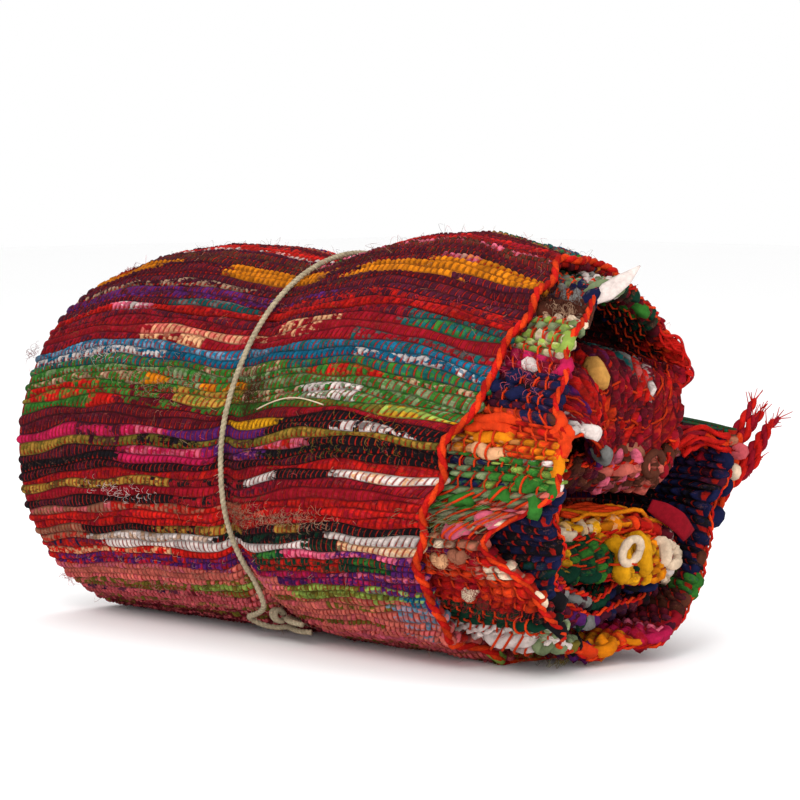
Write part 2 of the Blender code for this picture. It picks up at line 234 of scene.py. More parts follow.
def addLights():
    world = bpy.data.worlds.new("studio")
    world.use_nodes = True
    background = world.node_tree.nodes["Background"]
    background.inputs["Color"].default_value = (*lights["world"][0], 1)
    background.inputs["Strength"].default_value = lights["world"][1]
    bpy.context.scene.world = world
    for name in ("key", "fill", "top"):
        lamp = bpy.data.lights.new(name, "AREA")
        lamp.size = lights[name]["size"]
        lamp.energy = lights[name]["power"]
        obj = bpy.data.objects.new(name, lamp)
        obj.location = lights[name]["at"]
        obj.rotation_euler = (Vector((0, 0, 0.12)) - obj.location).to_track_quat("-Z", "Y").to_euler()
        bpy.context.scene.collection.objects.link(obj)


def addFloor():
    bpy.ops.mesh.primitive_plane_add(size=14)
    floor = bpy.context.object
    floor.name = "floor"
    mat = bpy.data.materials.new("floor")
    mat.use_nodes = True
    mat.node_tree.nodes["Principled BSDF"].inputs["Base Color"].default_value = (*lights["floor"], 1)
    mat.node_tree.nodes["Principled BSDF"].inputs["Roughness"].default_value = 0.9
    floor.data.materials.append(mat)


bpy.context.scene.view_settings.view_transform = "Standard"
addCamera()
addLights()
addFloor()
print("camera, lights and floor")

# the names that the charts use, as the photo shows the rags in full light
rags = {
    "black": (26, 22, 26), "plum": (82, 24, 44), "maroon": (108, 22, 36), "crimson": (160, 18, 36),
    "red": (220, 30, 22), "flame": (250, 70, 24), "orange": (255, 146, 18), "peach": (250, 186, 136),
    "coral": (250, 124, 108), "rose": (240, 104, 112), "magenta": (206, 30, 84), "pink": (244, 110, 138),
    "purple": (92, 34, 108), "navy": (28, 32, 72), "blue": (20, 112, 146), "teal": (22, 98, 96),
    "green": (58, 126, 46), "forest": (16, 60, 42), "olive": (128, 112, 40), "mustard": (196, 146, 58),
    "gold": (255, 178, 24), "tan": (180, 112, 86), "beige": (210, 166, 134), "cream": (252, 222, 190),
    "white": (255, 236, 228), "sage": (140, 154, 112), "brown": (96, 50, 36), "grey": (136, 134, 130),
    "lime": (164, 190, 84), "sky": (128, 160, 186), "warp": (206, 36, 22), "amber": (240, 174, 88), "jute": (204, 186, 154),
}
ragDepth = 0.53                     # what is left of those colours in even white light


def linear(name, lift=1.0):         # sRGB 0-255 to linear light
    share = np.array(rags[name]) / 255
    return np.where(share <= 0.04045, share / 12.92, ((share + 0.055) / 1.055) ** 2.4) * lift * ragDepth


def ragColours(text, lift=1.0):     # a rag's own colour and that of its flecks
    main, _, fleck = text.lstrip("~").partition("/")
    return linear(main, lift), linear(fleck or main, lift)


# Rags along each row of the outer ply. A row starts at this many millimetres from the free end,
# where it crosses the middle of the left bulge. After each rag comes the place along X, in
# millimetres, where the next one takes over. a/b is a with beads of b, ~ lies over the warp.
frontRows = chart("""
226 maroon/rose 40 rose 120 olive/rose
238 rose/maroon 90 crimson/rose
244 maroon 60 rose/olive
250 rose/maroon 100 rose/coral
256 maroon/rose 40 olive/rose 150 rose
262 maroon/plum 30 rose/coral
268 rose/maroon 60 rose/pink
274 maroon/rose 40 coral/rose
280 maroon/olive 40 rose/coral 160 coral/sky
286 rose/maroon 30 olive/coral 140 coral/rose
292 rose/olive 20 coral/rose 170 coral/sky
298 rose 10 coral 170 sky/coral
304 rose/navy -90 rose/maroon 0 coral/rose 100 olive/coral 170 sky/coral
310 olive/rose -20 olive/coral 60 coral/olive 150 coral/lime 190 blue/sky
316 olive/rose -60 lime/olive 20 coral 60 lime/olive 190 blue/lime
322 coral/rose -40 olive/coral 10 coral/pink 50 olive/lime 150 purple/lime
328 coral 0 coral/pink 50 purple/magenta
334 coral/pink -60 coral/purple 20 magenta/purple 110 purple/pink
340 purple/red -30 purple/crimson 30 forest/red 150 forest/green 190 purple
346 red/peach -60 red 30 forest/green 70 pink/magenta 130 purple/pink
352 red/purple -120 red/crimson 40 pink/purple 90 forest/green 140 peach/pink
357 red/navy -150 white 100 forest/black 140 peach/cream
363 tan/red -160 white/beige -10 black/forest 125 white
369 tan -170 black -80 mustard/black 20 black/plum 70 mustard/brown 92 black
375 red/crimson
381 tan/rose -120 red/tan 30 red/crimson
386 tan/beige -20 tan 40 beige/tan 140 red/beige
391 black/plum -160 black -60 black/crimson 10 crimson/brown 60 crimson
397 crimson 10 plum/crimson 60 crimson/maroon
402 mustard/black -60 black/crimson 30 white 62 black 128 white/peach
408 crimson/red 60 red/crimson
414 black/plum 110 black
419 black -110 magenta -16 plum/black 10 purple/pink 48 black
424 plum/black -110 magenta/pink -20 purple 40 pink/red 90 black
429 mustard/olive -150 olive/plum -90 black/olive -20 olive/plum 40 olive/mustard
434 magenta -160 plum/magenta -110 magenta/pink -60 purple 40 black 120 white/black 160 black/white 200 black
439 maroon/plum 0 ~gold 64 black
445 green/plum -100 green/maroon 20 green/plum 70 maroon/green 130 green
450 maroon/plum -90 maroon 60 crimson/maroon
456 green -150 red -120 maroon/green -20 green 60 olive/green 150 lime/gold
461 red/green -150 green/maroon -60 mustard/green 0 green/beige 70 white/green 120 green/sage
467 green/beige -100 ~orange -80 green/sage -40 orange/green 0 green/sage
473 green/sage 70 red/green 150 green/beige
479 teal/green -60 green/beige 40 teal/green
485 blue/teal 60 teal/sky 140 blue
490 blue/white -80 blue 100 blue/white
496 blue/sky 20 blue/teal
502 crimson/plum -120 peach/crimson -60 crimson 90 crimson/teal
507 crimson -120 coral/peach -20 crimson/peach 60 crimson
513 crimson/maroon 20 peach/crimson 70 crimson 130 teal/green
519 plum/crimson 130 teal/plum
525 red/crimson -165 pink/white -125 red/crimson
530 plum -110 teal/grey -30 plum/red
536 plum/purple 60 plum
542 purple/plum -20 plum/maroon
548 plum/beige -30 plum/brown 80 maroon/plum
554 plum -70 plum/maroon 40 ~orange 150 plum
560 maroon/plum -80 ~orange 20 plum 50 ~orange 134 ~orange
566 plum/maroon -90 ~orange 24 plum/brown 120 ~orange
572 ~orange -160 plum -80 ~orange 10 maroon/plum 130 pink/beige 155 orange
578 ~orange -150 brown/plum 60 plum/brown
584 plum/brown 50 maroon/plum
590 brown/plum -20 pink/green 30 brown/maroon
596 plum 20 brown/pink
602 red/white 40 maroon/red
608 red 80 crimson/red
614 plum/red 30 maroon
620 maroon
""")
# The inner ply's loose edge, read from the selvedge inwards: millimetres from the edge.
bandRows = chart("""
0 navy/plum
40 navy/black
80 black/navy 40 plum/navy
112 green/navy 25 plum
128 brown/plum 30 plum
150 maroon/plum
168 pink/crimson 40 plum
184 magenta/crimson 40 maroon
198 flame/orange 60 purple
214 orange/brown 50 purple/grey
228 purple/maroon 45 maroon
240 maroon/black
252 sage/black 30 maroon
262 sage/white 36 white
290 sage/white 34 forest
298 black/forest 30 forest
310 black/red 26 forest/red
318 red/flame
326 flame/red 30 red/crimson
336 cream/red 24 red/flame
346 red/crimson
354 crimson/red 40 purple/red
361 tan/coral 30 cream/olive
368 crimson/brown 30 peach/coral
375 brown/cream 36 olive/cream
382 coral/pink 36 sage/cream
390 pink/coral 40 green/sage
397 coral/sage 32 sage/green
404 lime/green 40 navy/green
410 green/lime 45 green/sage
417 green/lime 42 forest/sage
424 lime/green 40 sage/navy
431 white/flame 20 green/lime 50 sage/green
438 flame/orange 36 orange/peach
446 orange/flame 40 peach/orange
453 flame/navy 30 orange/flame
460 ~flame/red
468 navy/brown 30 ~flame/orange
477 navy/plum
485 black/navy 36 navy
493 navy/plum
501 purple/navy 26 navy/magenta
508 magenta/crimson 60 white/magenta
515 navy/crimson 20 magenta/crimson
521 lime/cream
529 cream/lime
537 lime/sage
546 cream/beige
553 brown/cream
561 brown/black
570 brown/navy
578 navy/grey
588 navy/sage
598 sage/grey
610 sage/white 40 navy/sage
622 white/sage 30 forest/sage
640 maroon/forest 30 black/plum
676 green/maroon 24 black/plum
700 forest/maroon 26 black/navy
728 red/flame 22 black/maroon
764 pink/crimson 30 black/maroon
780 crimson/maroon 58 white/teal 72 teal/black
792 maroon/red 58 grey/teal
806 crimson/flame 56 black/teal
820 maroon/crimson 58 white/grey 70 black/teal
834 red/maroon 56 grey/black
846 crimson/maroon 60 teal/black
858 red/maroon 30 crimson/plum
872 maroon/crimson
884 crimson/flame 40 maroon/purple
896 red/crimson
908 maroon/plum
920 crimson/magenta 36 red/maroon
932 purple/crimson
946 crimson/red
958 white/grey 14 maroon/crimson
972 navy/purple
1010 navy/black
1060 navy/forest
1090 black/grey
1110 magenta/plum 24 black
1130 forest/purple
1156 plum/navy
1190 black/plum
1228 cream/brown 24 maroon
1250 white/maroon 20 crimson
1266 flame/red
1296 orange/cream 26 flame
1312 cream/gold
1336 gold/cream 30 olive
1352 maroon/brown
1440 brown/plum
1476 pink/brown
1500 coral/brown
1530 brown/pink
1556 crimson/maroon
1600 red/crimson
""")
# the outer ply's loose edge, inside the roll
innerRows = chart("""
750 crimson/pink
790 teal/black
850 black/grey
880 mustard/olive 30 purple
900 purple/navy
930 navy/purple
1000 navy/black
1080 black/magenta
1110 grey/plum
1150 forest/black
1180 black/navy
1238 white/cream 24 maroon
1262 cream/white 26 crimson
1276 gold/orange
1298 gold/forest 22 flame
1318 forest/green
1340 forest/gold
1366 maroon/black
1430 brown/maroon
1470 coral/brown
1520 brown/crimson
1560 crimson/red
1590 red/magenta
1620 maroon/crimson
""")
hiddenRags = ["plum", "maroon", "crimson", "red", "black", "rose/maroon", "green/plum", "navy/purple",
              "mustard/black", "teal/green", "coral/rose", "purple/plum", "tan/red", "orange/maroon",
              "magenta/plum", "blue/navy", "olive/plum", "white/red", "black/crimson", "crimson/maroon"]

# the weave: one row of beads for each weft rag
weave = {
    "rowPitch": 0.0058, "beadPitch": 0.0049, "selvedgePitch": 0.0108, "selvedgeBand": (0.070, 0.110),
    "bead": 0.0024, "selvedgeBead": 0.0046, "rimBead": 0.0016, "valley": 0.0015, "between": 0.06,
    "marksPerBead": 3, "bulge": 0.8,
    "tilt": 0.062, "tiltFrom": -0.05,       # rows run askew on the lower front
    "rowWander": 0.0010, "ripple": 0.0013, "ruffle": 0.0038, "edgeWander": 0.005,
    # how far in from the selvedges the beads are fine: where it shows, in the mouth, below, between
    "fineBand": 0.125, "innerBand": 0.095, "underBand": 0.060, "hiddenBand": 0.022,
    "wholeBeads": (0.22, 0.42),             # share of beads that take the fleck's colour whole
    "flecks": (0.75, 0.35),                 # how much of the others it covers, on fine and on loose rows
    "innerFrom": 0.75,                      # from here on the outer ply's edge is inside the roll
}

# Flaps of the loose edges that turn over in the mouth of the roll: middle and half width along
# the winding, extra reach, radius of the bend, how far it turns in radians, and to which side
flaps = [
    {"ply": 1, "at": 0.880, "half": 0.100, "extra": 0.060, "radius": 0.018, "turn": 1.75, "side": -1},
    {"ply": 0, "at": 1.310, "half": 0.060, "extra": 0.020, "radius": 0.012, "turn": 1.50, "side": -1},
    {"ply": 1, "at": 1.490, "half": 0.060, "extra": 0.020, "radius": 0.014, "turn": 1.20, "side": -1},
]


def rowStarts():
    steps = weave["rowPitch"] * rng.uniform(0.86, 1.16, int(woundLength / weave["rowPitch"]))
    edges = np.concatenate([[0], np.cumsum(steps)])
    return edges * woundLength / edges[-1]


rowAt = rowStarts()
rowCount = len(rowAt) - 1


def beadEdges(width, wide):         # distances from the selvedge where the beads meet
    edges = [0.0]
    while edges[-1] < width:
        near = 1 - eased(edges[-1], *weave["selvedgeBand"])
        edges.append(edges[-1] + weave["beadPitch"] + (wide - weave["beadPitch"]) * near)
    return np.array(edges) * width / edges[-1]


plyWidth = [roll["nearEnd"] - foldX + 0.010, roll["nearEnd"] - foldX + 0.045]
beads = [beadEdges(plyWidth[0], 1.15 * weave["beadPitch"]), beadEdges(plyWidth[1], weave["selvedgePitch"])]


def softNoise(x, s, waves):         # smooth ripples, about -1 to 1
    total = 0
    for length, turn, phase in waves:
        k = 2 * pi / length
        total = total + np.sin(k * (x * cos(turn) + s * sin(turn)) + phase)
    return total / len(waves)


rippleWaves = [(0.060, 0.4, 0.3), (0.083, 2.3, 1.9), (0.047, 1.1, 4.1), (0.110, 0.1, 2.2), (0.036, 2.9, 5.0)]
ruffleWaves = [(0.052, 1.5, 0.9), (0.038, 1.3, 2.7), (0.071, 1.8, 4.4)]
rowPhase = rng.uniform(0, 2 * pi, (rowCount + 1, 3))
rowSwell = rng.uniform(0.75, 1.25, rowCount + 1)


def rowWander(row, x):              # how far a row's edge strays from its line
    wave = np.sin(x / 0.024 + rowPhase[row, 0]) + np.sin(x / 0.013 + rowPhase[row, 1])
    inner = (row > 0) & (row < rowCount)
    return weave["rowWander"] * wave * inner


def flapShare(flap, s, ply):        # 1 in the middle of a flap, 0 beyond its ends and on the other ply
    return eased(1 - np.abs(s - flap["at"]) / flap["half"], 0, 0.5) * (ply == flap["ply"])


def looseEdge(s, ply):              # the selvedge's reach with its flaps and small waves
    reach = np.where(ply == 0, edgeAt(s, 0), edgeAt(s, 1))
    for flap in flaps:
        reach = reach + flap["extra"] * flapShare(flap, s, ply)
    return reach + weave["edgeWander"] * softNoise(0.3 * ply, s, ruffleWaves)


def settle(s, x, ply, middle, lift):    # where cloth at x comes to lie, lift is off the ply's middle
    straight = np.where(ply == 0, edgeAt(s, 0), edgeAt(s, 1))
    loose = eased(x, straight - 0.09, straight)
    lift = lift + weave["ripple"] * softNoise(x, s, rippleWaves) * eased(x, foldX, foldX + 0.09)
    lift = lift + weave["ruffle"] * loose * softNoise(x + 0.3 * ply, s, ruffleWaves)
    off = middle + lift
    for flap in flaps:
        turn = flap["turn"] * flapShare(flap, s, ply)
        bendAt = straight - 0.6 * flap["radius"]
        past = np.maximum(x - bendAt, 0) * (turn > 0)
        angle = np.minimum(past / flap["radius"], turn)
        rest = np.maximum(past - flap["radius"] * turn, 0)
        out = flap["radius"] * np.sin(angle) + rest * np.cos(angle) + flap["side"] * lift * np.sin(angle)
        down = flap["radius"] * (1 - np.cos(angle)) + rest * np.sin(angle)
        x = np.where(past > 0, bendAt + out, x)
        off = np.where(past > 0, middle + lift * np.cos(angle) - flap["side"] * down, off)
    return clothPoint(s, x, off)


def plyPoint(ply, s, inward, lift):     # a point this far in from a ply's selvedge
    s = np.clip(s, 0, woundLength)
    return settle(s, looseEdge(s, ply) - inward, ply, plyMiddle(ply), lift)


def rowTilt(s, x):
    share = eased(s, 0.20, 0.29) * (1 - eased(s, 0.41, 0.47))
    return weave["tilt"] * (x - weave["tiltFrom"]) * share


def readRow(row, places):           # the rag for each of the beads at these places
    limits = np.array([-1e9, *row[2::2]])
    return [row[1 + 2 * int(np.searchsorted(limits, p, side="right") - 1)] for p in places]


def rowOf(rows, s):
    return [row for row in rows if row[0] <= s * 1000][-1]


def colourTable(ply):               # every bead's colour with its float mark, and its fleck colour
    count = len(beads[ply]) - 1
    middle = (beads[ply][1:] + beads[ply][:-1]) / 2
    along = (roll["nearEnd"] - middle) * 1000
    table = np.ones((rowCount, count, 8))
    for r in range(rowCount):
        s = (rowAt[r] + rowAt[r + 1]) / 2
        loose = ply == 1 or s > weave["innerFrom"]
        cut = sorted(rng.uniform(-230, 200, 2))
        rag = [hiddenRags[k] for k in rng.integers(0, len(hiddenRags), 3)]
        row = (0, rag[0], cut[0], rag[1], cut[1], rag[2])
        if ply == 0 and frontRows[0][0] <= s * 1000 < frontRows[-1][0] + 8:
            row = rowOf(frontRows, s)
        names = readRow(row, along)
        if loose:
            close = readRow(rowOf(bandRows if ply else innerRows, s), middle * 1000)
            edge = middle < weave["fineBand"] + 0.02 * sin(r * 1.7)
            names = [b if e else a for a, b, e in zip(names, close, edge)]
        shade = rng.uniform(0.80, 1.15) * rng.uniform(0.74, 1.22, count)
        coarse = (middle < weave["fineBand"]) & loose
        swap = rng.random(count) < np.where(coarse, weave["wholeBeads"][1], weave["wholeBeads"][0])
        for b, text in enumerate(names):
            main, fleck = ragColours(text, shade[b])
            beside = [names[k] for k in (b - 1, b + 1) if 0 <= k < count and names[k] != text]
            if beside:              # the end of a rag tapers off into the next
                fleck = ragColours(beside[0], shade[b])[0]
            table[r, b, :3], table[r, b, 4:7] = (fleck, main) if swap[b] else (main, fleck)
            table[r, b, 3] = float(text.startswith("~"))
            table[r, b, 7] = weave["flecks"][int(coarse[b])] if beside or "/" in text else 0.0
    return table


beadColour = [colourTable(0), colourTable(1)]
beadSwell = [rng.uniform(0.72, 1.28, table.shape[:2]) for table in beadColour]
print("charted", rowCount, "rows of", len(beads[0]) - 1, "and", len(beads[1]) - 1, "beads")


def station(ply, w, share, mid, nx, no, rad):   # w counts beads, share is the distance from the fold
    return dict(ply=ply, w=w, share=share, mid=mid, nx=nx, no=no, rad=rad)


def faceStations(ply, side, fineTo, coarse):    # from the selvedge to the fold
    count = len(beads[ply]) - 1
    per = weave["marksPerBead"]
    marks = [k / per for k in range(count * per + 1) if beads[ply][min(k // per, count)] < fineTo]
    marks += [float(k) for k in range(int(marks[-1]) + 1, count + 1, coarse)]
    if marks[-1] < count - 0.6:
        marks.append(count - 0.5)
    shares = 1 - np.interp(marks, np.arange(count + 1), beads[ply]) / plyWidth[ply]
    return [station(ply, w, share, plyMiddle(ply), 0.0, float(side), roll["ply"] / 2)
            for w, share in zip(marks, shares)]


def ringStations(front):            # once round the folded cloth's section
    inner = weave["fineBand"] if front else weave["innerBand"]
    outer = faceStations(0, 1, 1.0 if front else inner, 6)
    lower = faceStations(1, -1, weave["underBand"] if front else inner, 6)
    lowerIn = faceStations(1, 1, inner, 8)
    outerIn = faceStations(0, -1, weave["hiddenBand"] if front else inner, 8)
    turns = [(0 if k < 4 else 1, pi / 2 + pi * k / 8) for k in range(1, 8)]
    fold, inside = [[station(ply, len(beads[ply]) - 1.01, 0.0, 0.0, cos(a), sin(a), rad) for ply, a in turns]
                    for rad in (half + roll["ply"], half)]
    edges = [[station(ply, 0.0, 1.0, plyMiddle(ply), cos(a), sin(a), roll["ply"] / 2)
              for a in (-pi / 4, 0.0, pi / 4)] for ply in (1, 0)]
    ring = [*outer, *fold, *lower[::-1], *edges[0], *lowerIn, *inside[::-1], *outerIn[::-1], *edges[1]]
    return {key: np.array([st[key] for st in ring]) for key in ring[0]}, len(outer + fold + lower)


def perBead(tables, ply, row, column):      # what the two plies' tables say for these beads
    outer, inner = [t[row[:, None], np.minimum(column, t.shape[1] - 1)] for t in tables]
    return np.where((ply == 0).reshape(-1, *[1] * (outer.ndim - 2)), outer, inner)


def beadHeight(st, row, v, s):
    cell = st["w"] + 0.5 * (row[:, None] % 2)
    swell = perBead(beadSwell, st["ply"], row, np.floor(cell).astype(int))
    near = 1 - eased(st["dist"], *weave["selvedgeBand"])
    near = near * np.where(st["ply"] == 1, 1.0, eased(s, 0.72, 0.80))
    size = weave["bead"] + (weave["selvedgeBead"] - weave["bead"]) * near
    across = np.abs(np.sin(pi * cell)) ** weave["bulge"]
    up = np.abs(np.sin(pi * v))[:, None] ** weave["bulge"]
    between = weave["between"] * (1 - near)
    return size * up * (between + (1 - between) * across) * swell * rowSwell[row][:, None] - weave["valley"]


def gridQuads(index):               # between the rows of a grid that closes on itself
    after = np.roll(index, -1, axis=1)
    return np.stack([index[:-1], after[:-1], after[1:], index[1:]], axis=-1).reshape(-1, 4)


def endCaps(index, st, split):      # triangles over the first and the last section
    caps = []
    order = st["w"] * np.where(st["ply"] == 0, 1, -1) + 500 * st["ply"]
    for line, flip in ((index[0], False), (index[-1], True)):
        i, j = 0, len(line) - 1
        while i < split - 1 or j > split:
            step = j <= split or (i < split - 1 and order[i + 1] <= order[j - 1])
            tri = (line[i], line[j], line[i + 1 if step else j - 1])
            i, j = (i + 1, j) if step else (i, j - 1)
            caps.append(tri[::-1] if flip else tri)
    return np.array(caps)


def clothPiece(name, firstRow, lastRow, lines, front, material):
    st, split = ringStations(front)
    ply, w, share = st["ply"], st["w"], st["share"]
    st["dist"] = (1 - share) * np.where(ply == 0, *plyWidth)
    row = np.append(np.repeat(np.arange(firstRow, lastRow), lines), lastRow - 1)
    v = np.append(np.tile(np.arange(lines) / lines, lastRow - firstRow), 1.0)
    nominalX = foldX + share * (roll["nearEnd"] + 0.02 - foldX)
    stray = ((1 - v)[:, None] * rowWander(row[:, None], nominalX)
             + v[:, None] * rowWander(row[:, None] + 1, nominalX))
    base = (rowAt[row] + v * (rowAt[row + 1] - rowAt[row]))[:, None]
    s = np.clip(base + stray + rowTilt(base, nominalX), 0, woundLength)
    lump = np.where(st["rad"] == half, 0.0, beadHeight(st, row, v, base))
    lump = np.where((st["nx"] > 0) & (w == 0), np.minimum(lump, weave["rimBead"]), lump)
    rad = st["rad"] + lump
    x = foldX + share * (looseEdge(s, ply) - foldX) + st["nx"] * rad
    verts = settle(s, x, ply, st["mid"], st["no"] * rad)
    index = np.arange(len(row) * len(w)).reshape(len(row), len(w))
    # colours by bead, marks by bead and row
    wNext = np.where(np.roll(ply, -1) == ply, np.roll(w, -1), w)
    row = row[:-1]
    pick = np.floor((w + wNext) / 2 + 0.5 * (row[:, None] % 2)).astype(int)
    colour = perBead(beadColour, ply, row, pick).reshape(-1, 8)
    vTop = np.where(v[1:] < v[:-1], 1.0, v[1:])
    marksU = np.stack([w, wNext, wNext, w], axis=-1)[None].repeat(len(row), 0)
    marksV = np.stack([row + v[:-1], row + v[:-1], row + vTop, row + vTop], axis=-1)
    uv = np.stack([marksU, marksV[:, None, :].repeat(len(w), 1)], axis=-1).reshape(-1, 2)
    caps = endCaps(index, st, split)
    colour = np.vstack([colour, np.tile(beadColour[0][firstRow, 5], (len(caps), 1))])
    return buildMesh(name, verts.reshape(-1, 3), gridQuads(index), {"rag": colour[:, :4], "fleck": colour[:, 4:]},
                     material, uv=np.vstack([uv, np.zeros((len(caps) * 3, 2))]), tris=caps)


def buildMesh(name, verts, quads, colours, material, uv=None, tris=()):
    mesh = bpy.data.meshes.new(name)
    sizes = np.array([4] * len(quads) + [3] * len(tris))
    loops = np.concatenate([np.asarray(quads).ravel(), np.asarray(tris, int).ravel()])
    mesh.vertices.add(len(verts))
    mesh.vertices.foreach_set("co", np.asarray(verts, np.float32).ravel())
    mesh.loops.add(len(loops))
    mesh.loops.foreach_set("vertex_index", loops.astype(np.int32))
    mesh.polygons.add(len(sizes))
    mesh.polygons.foreach_set("loop_start", np.concatenate([[0], np.cumsum(sizes)[:-1]]).astype(np.int32))
    mesh.update(calc_edges=True)
    for label, values in colours.items():
        layer = mesh.attributes.new(label, "FLOAT_COLOR", "CORNER")
        layer.data.foreach_set("color", np.repeat(values, sizes, axis=0).astype(np.float32).ravel())
    if uv is not None:
        mesh.uv_layers.new(name="weave").data.foreach_set("uv", uv.astype(np.float32).ravel())
    mesh.shade_smooth()
    mesh.materials.append(material)
    obj = bpy.data.objects.new(name, mesh)
    bpy.context.scene.collection.objects.link(obj)
    return obj


def newGroup(name, inputs, outputs):
    group = bpy.data.node_groups.new(name, "ShaderNodeTree")
    for label, kind in inputs:
        group.interface.new_socket(label, in_out="INPUT", socket_type="NodeSocket" + kind)
    for label in outputs:
        group.interface.new_socket(label, in_out="OUTPUT", socket_type="NodeSocketFloat")
    return group, group.nodes.new("NodeGroupInput").outputs, group.nodes.new("NodeGroupOutput").inputs


def mathNode(tree, operation, *values):
    node = tree.nodes.new("ShaderNodeMath")
    node.operation = operation
    for socket, value in zip(node.inputs, values):
        if isinstance(value, (int, float)):
            socket.default_value = value
        else:
            tree.links.new(value, socket)
    return node.outputs[0]


def smoothStep(tree, value, low, high, toLow=0.0, toHigh=1.0):
    node = tree.nodes.new("ShaderNodeMapRange")
    node.interpolation_type = "SMOOTHSTEP"
    tree.links.new(value, node.inputs["Value"])
    for label, number in (("From Min", low), ("From Max", high), ("To Min", toLow), ("To Max", toHigh)):
        node.inputs[label].default_value = number
    return node.outputs["Result"]


def mixColour(tree, share, first, second, blend="MIX"):
    node = tree.nodes.new("ShaderNodeMix")
    node.data_type = "RGBA"
    node.blend_type = blend
    for socket, value in ((node.inputs[0], share), (node.inputs[6], first), (node.inputs[7], second)):
        if isinstance(value, (int, float)):
            socket.default_value = value
        elif isinstance(value, tuple):
            socket.default_value = (*value, 1)
        else:
            tree.links.new(value, socket)
    return node.outputs[2]


def stretch(tree, vector, scale):
    node = tree.nodes.new("ShaderNodeMapping")
    node.inputs["Scale"].default_value = scale
    tree.links.new(vector, node.inputs["Vector"])
    return node.outputs["Vector"]


def placeGroup(tree, group, label, value, socket, source):
    node = tree.nodes.new("ShaderNodeGroup")
    node.node_tree = group
    node.inputs[label].default_value = value
    tree.links.new(source, node.inputs[socket])
    return node.outputs


def weaveMarks():                   # the warp's slanted ticks, and a mask for painted shade in the valleys between beads and between rows
    group, come, go = newGroup("weaveMarks", [("Weave", "Vector"), ("Width", "Float")], ["Tick", "GapShade"])
    maths = partial(mathNode, group)
    parts = group.nodes.new("ShaderNodeSeparateXYZ")
    group.links.new(come["Weave"], parts.inputs[0])
    rowNumber = maths("FLOOR", parts.outputs[1])
    rowShare = maths("SUBTRACT", parts.outputs[1], rowNumber)
    shifted = maths("ADD", parts.outputs[0], maths("MULTIPLY", maths("MODULO", rowNumber, 2.0), 0.5))
    slant = maths("MULTIPLY", maths("SUBTRACT", rowShare, 0.5), 0.22)
    spot = maths("FRACT", maths("ADD", maths("ADD", shifted, slant), 0.5))
    aside = maths("ABSOLUTE", maths("SUBTRACT", spot, 0.5))
    across = smoothStep(group, maths("DIVIDE", aside, come["Width"]), 0.6, 1.1, 1.0, 0.0)
    middle = maths("ABSOLUTE", maths("SUBTRACT", rowShare, 0.5))
    within = smoothStep(group, middle, 0.34, 0.46, 1.0, 0.0)
    group.links.new(maths("MULTIPLY", across, within), go["Tick"])
    # masks for the painted shade in the gaps between beads and between rows
    beadGapShade = smoothStep(group, aside, 0.08, 0.28, 1.0, 0.0)
    rowGapShade = smoothStep(group, middle, 0.30, 0.48)
    group.links.new(maths("MAXIMUM", beadGapShade, rowGapShade), go["GapShade"])
    return group


def fibreFuzz():                    # fine threads that run one way: shades, a height, flecks and strays
    group, come, go = newGroup("fibreFuzz", [("Vector", "Vector"), ("Scale", "Float")],
                               ["Shade", "Height", "Fleck", "Stray"])
    maths = partial(mathNode, group)

    def threads(share, **values):
        node = group.nodes.new("ShaderNodeTexNoise")
        for label, value in values.items():
            node.inputs[label].default_value = value
        group.links.new(come["Vector"], node.inputs["Vector"])
        scale = come["Scale"] if share == 1 else maths("MULTIPLY", come["Scale"], share)
        group.links.new(scale, node.inputs["Scale"])
        return node.outputs["Fac"]

    fine = threads(1, Detail=4.0, Roughness=0.65)
    both = maths("ADD", maths("MULTIPLY", fine, 0.6), maths("MULTIPLY", threads(0.22, Detail=2.0), 0.4))
    group.links.new(smoothStep(group, both, 0.30, 0.70), go["Shade"])
    group.links.new(fine, go["Height"])
    group.links.new(smoothStep(group, threads(0.75, Detail=3.0), 0.50, 0.56), go["Fleck"])
    band = maths("ABSOLUTE", maths("SUBTRACT", threads(0.50, Detail=5.0, Distortion=1.6), 0.60))
    group.links.new(smoothStep(group, band, 0.0, 0.014, 1.0, 0.0), go["Stray"])
    return group


marksGroup = weaveMarks()
fuzzGroup = fibreFuzz()
finishes = {
    # ragWeave's valley sets how strongly the gaps between beads and rows are darkened as painted shade
    "ragWeave": {"woven": True, "scale": 330.0, "stretch": (0.40, 1.0, 1.0), "depth": 0.75, "bump": 0.6,
                 "valley": 0.85, "tickWidth": 0.090, "tick": 0.90, "stray": 0.36, "roughness": 0.92},
    "ragLoop": {"scale": 260.0, "depth": 0.45, "bump": 0.6, "roughness": 0.85},
    "warpYarn": {"scale": 620.0, "depth": 0.6, "bump": 0.7, "roughness": 0.9},
    "juteTwine": {"scale": 700.0, "depth": 0.6, "bump": 0.8, "roughness": 0.9},
    "looseFibre": {"scale": 300.0, "depth": 0.3, "bump": 0.2, "roughness": 0.9},
}


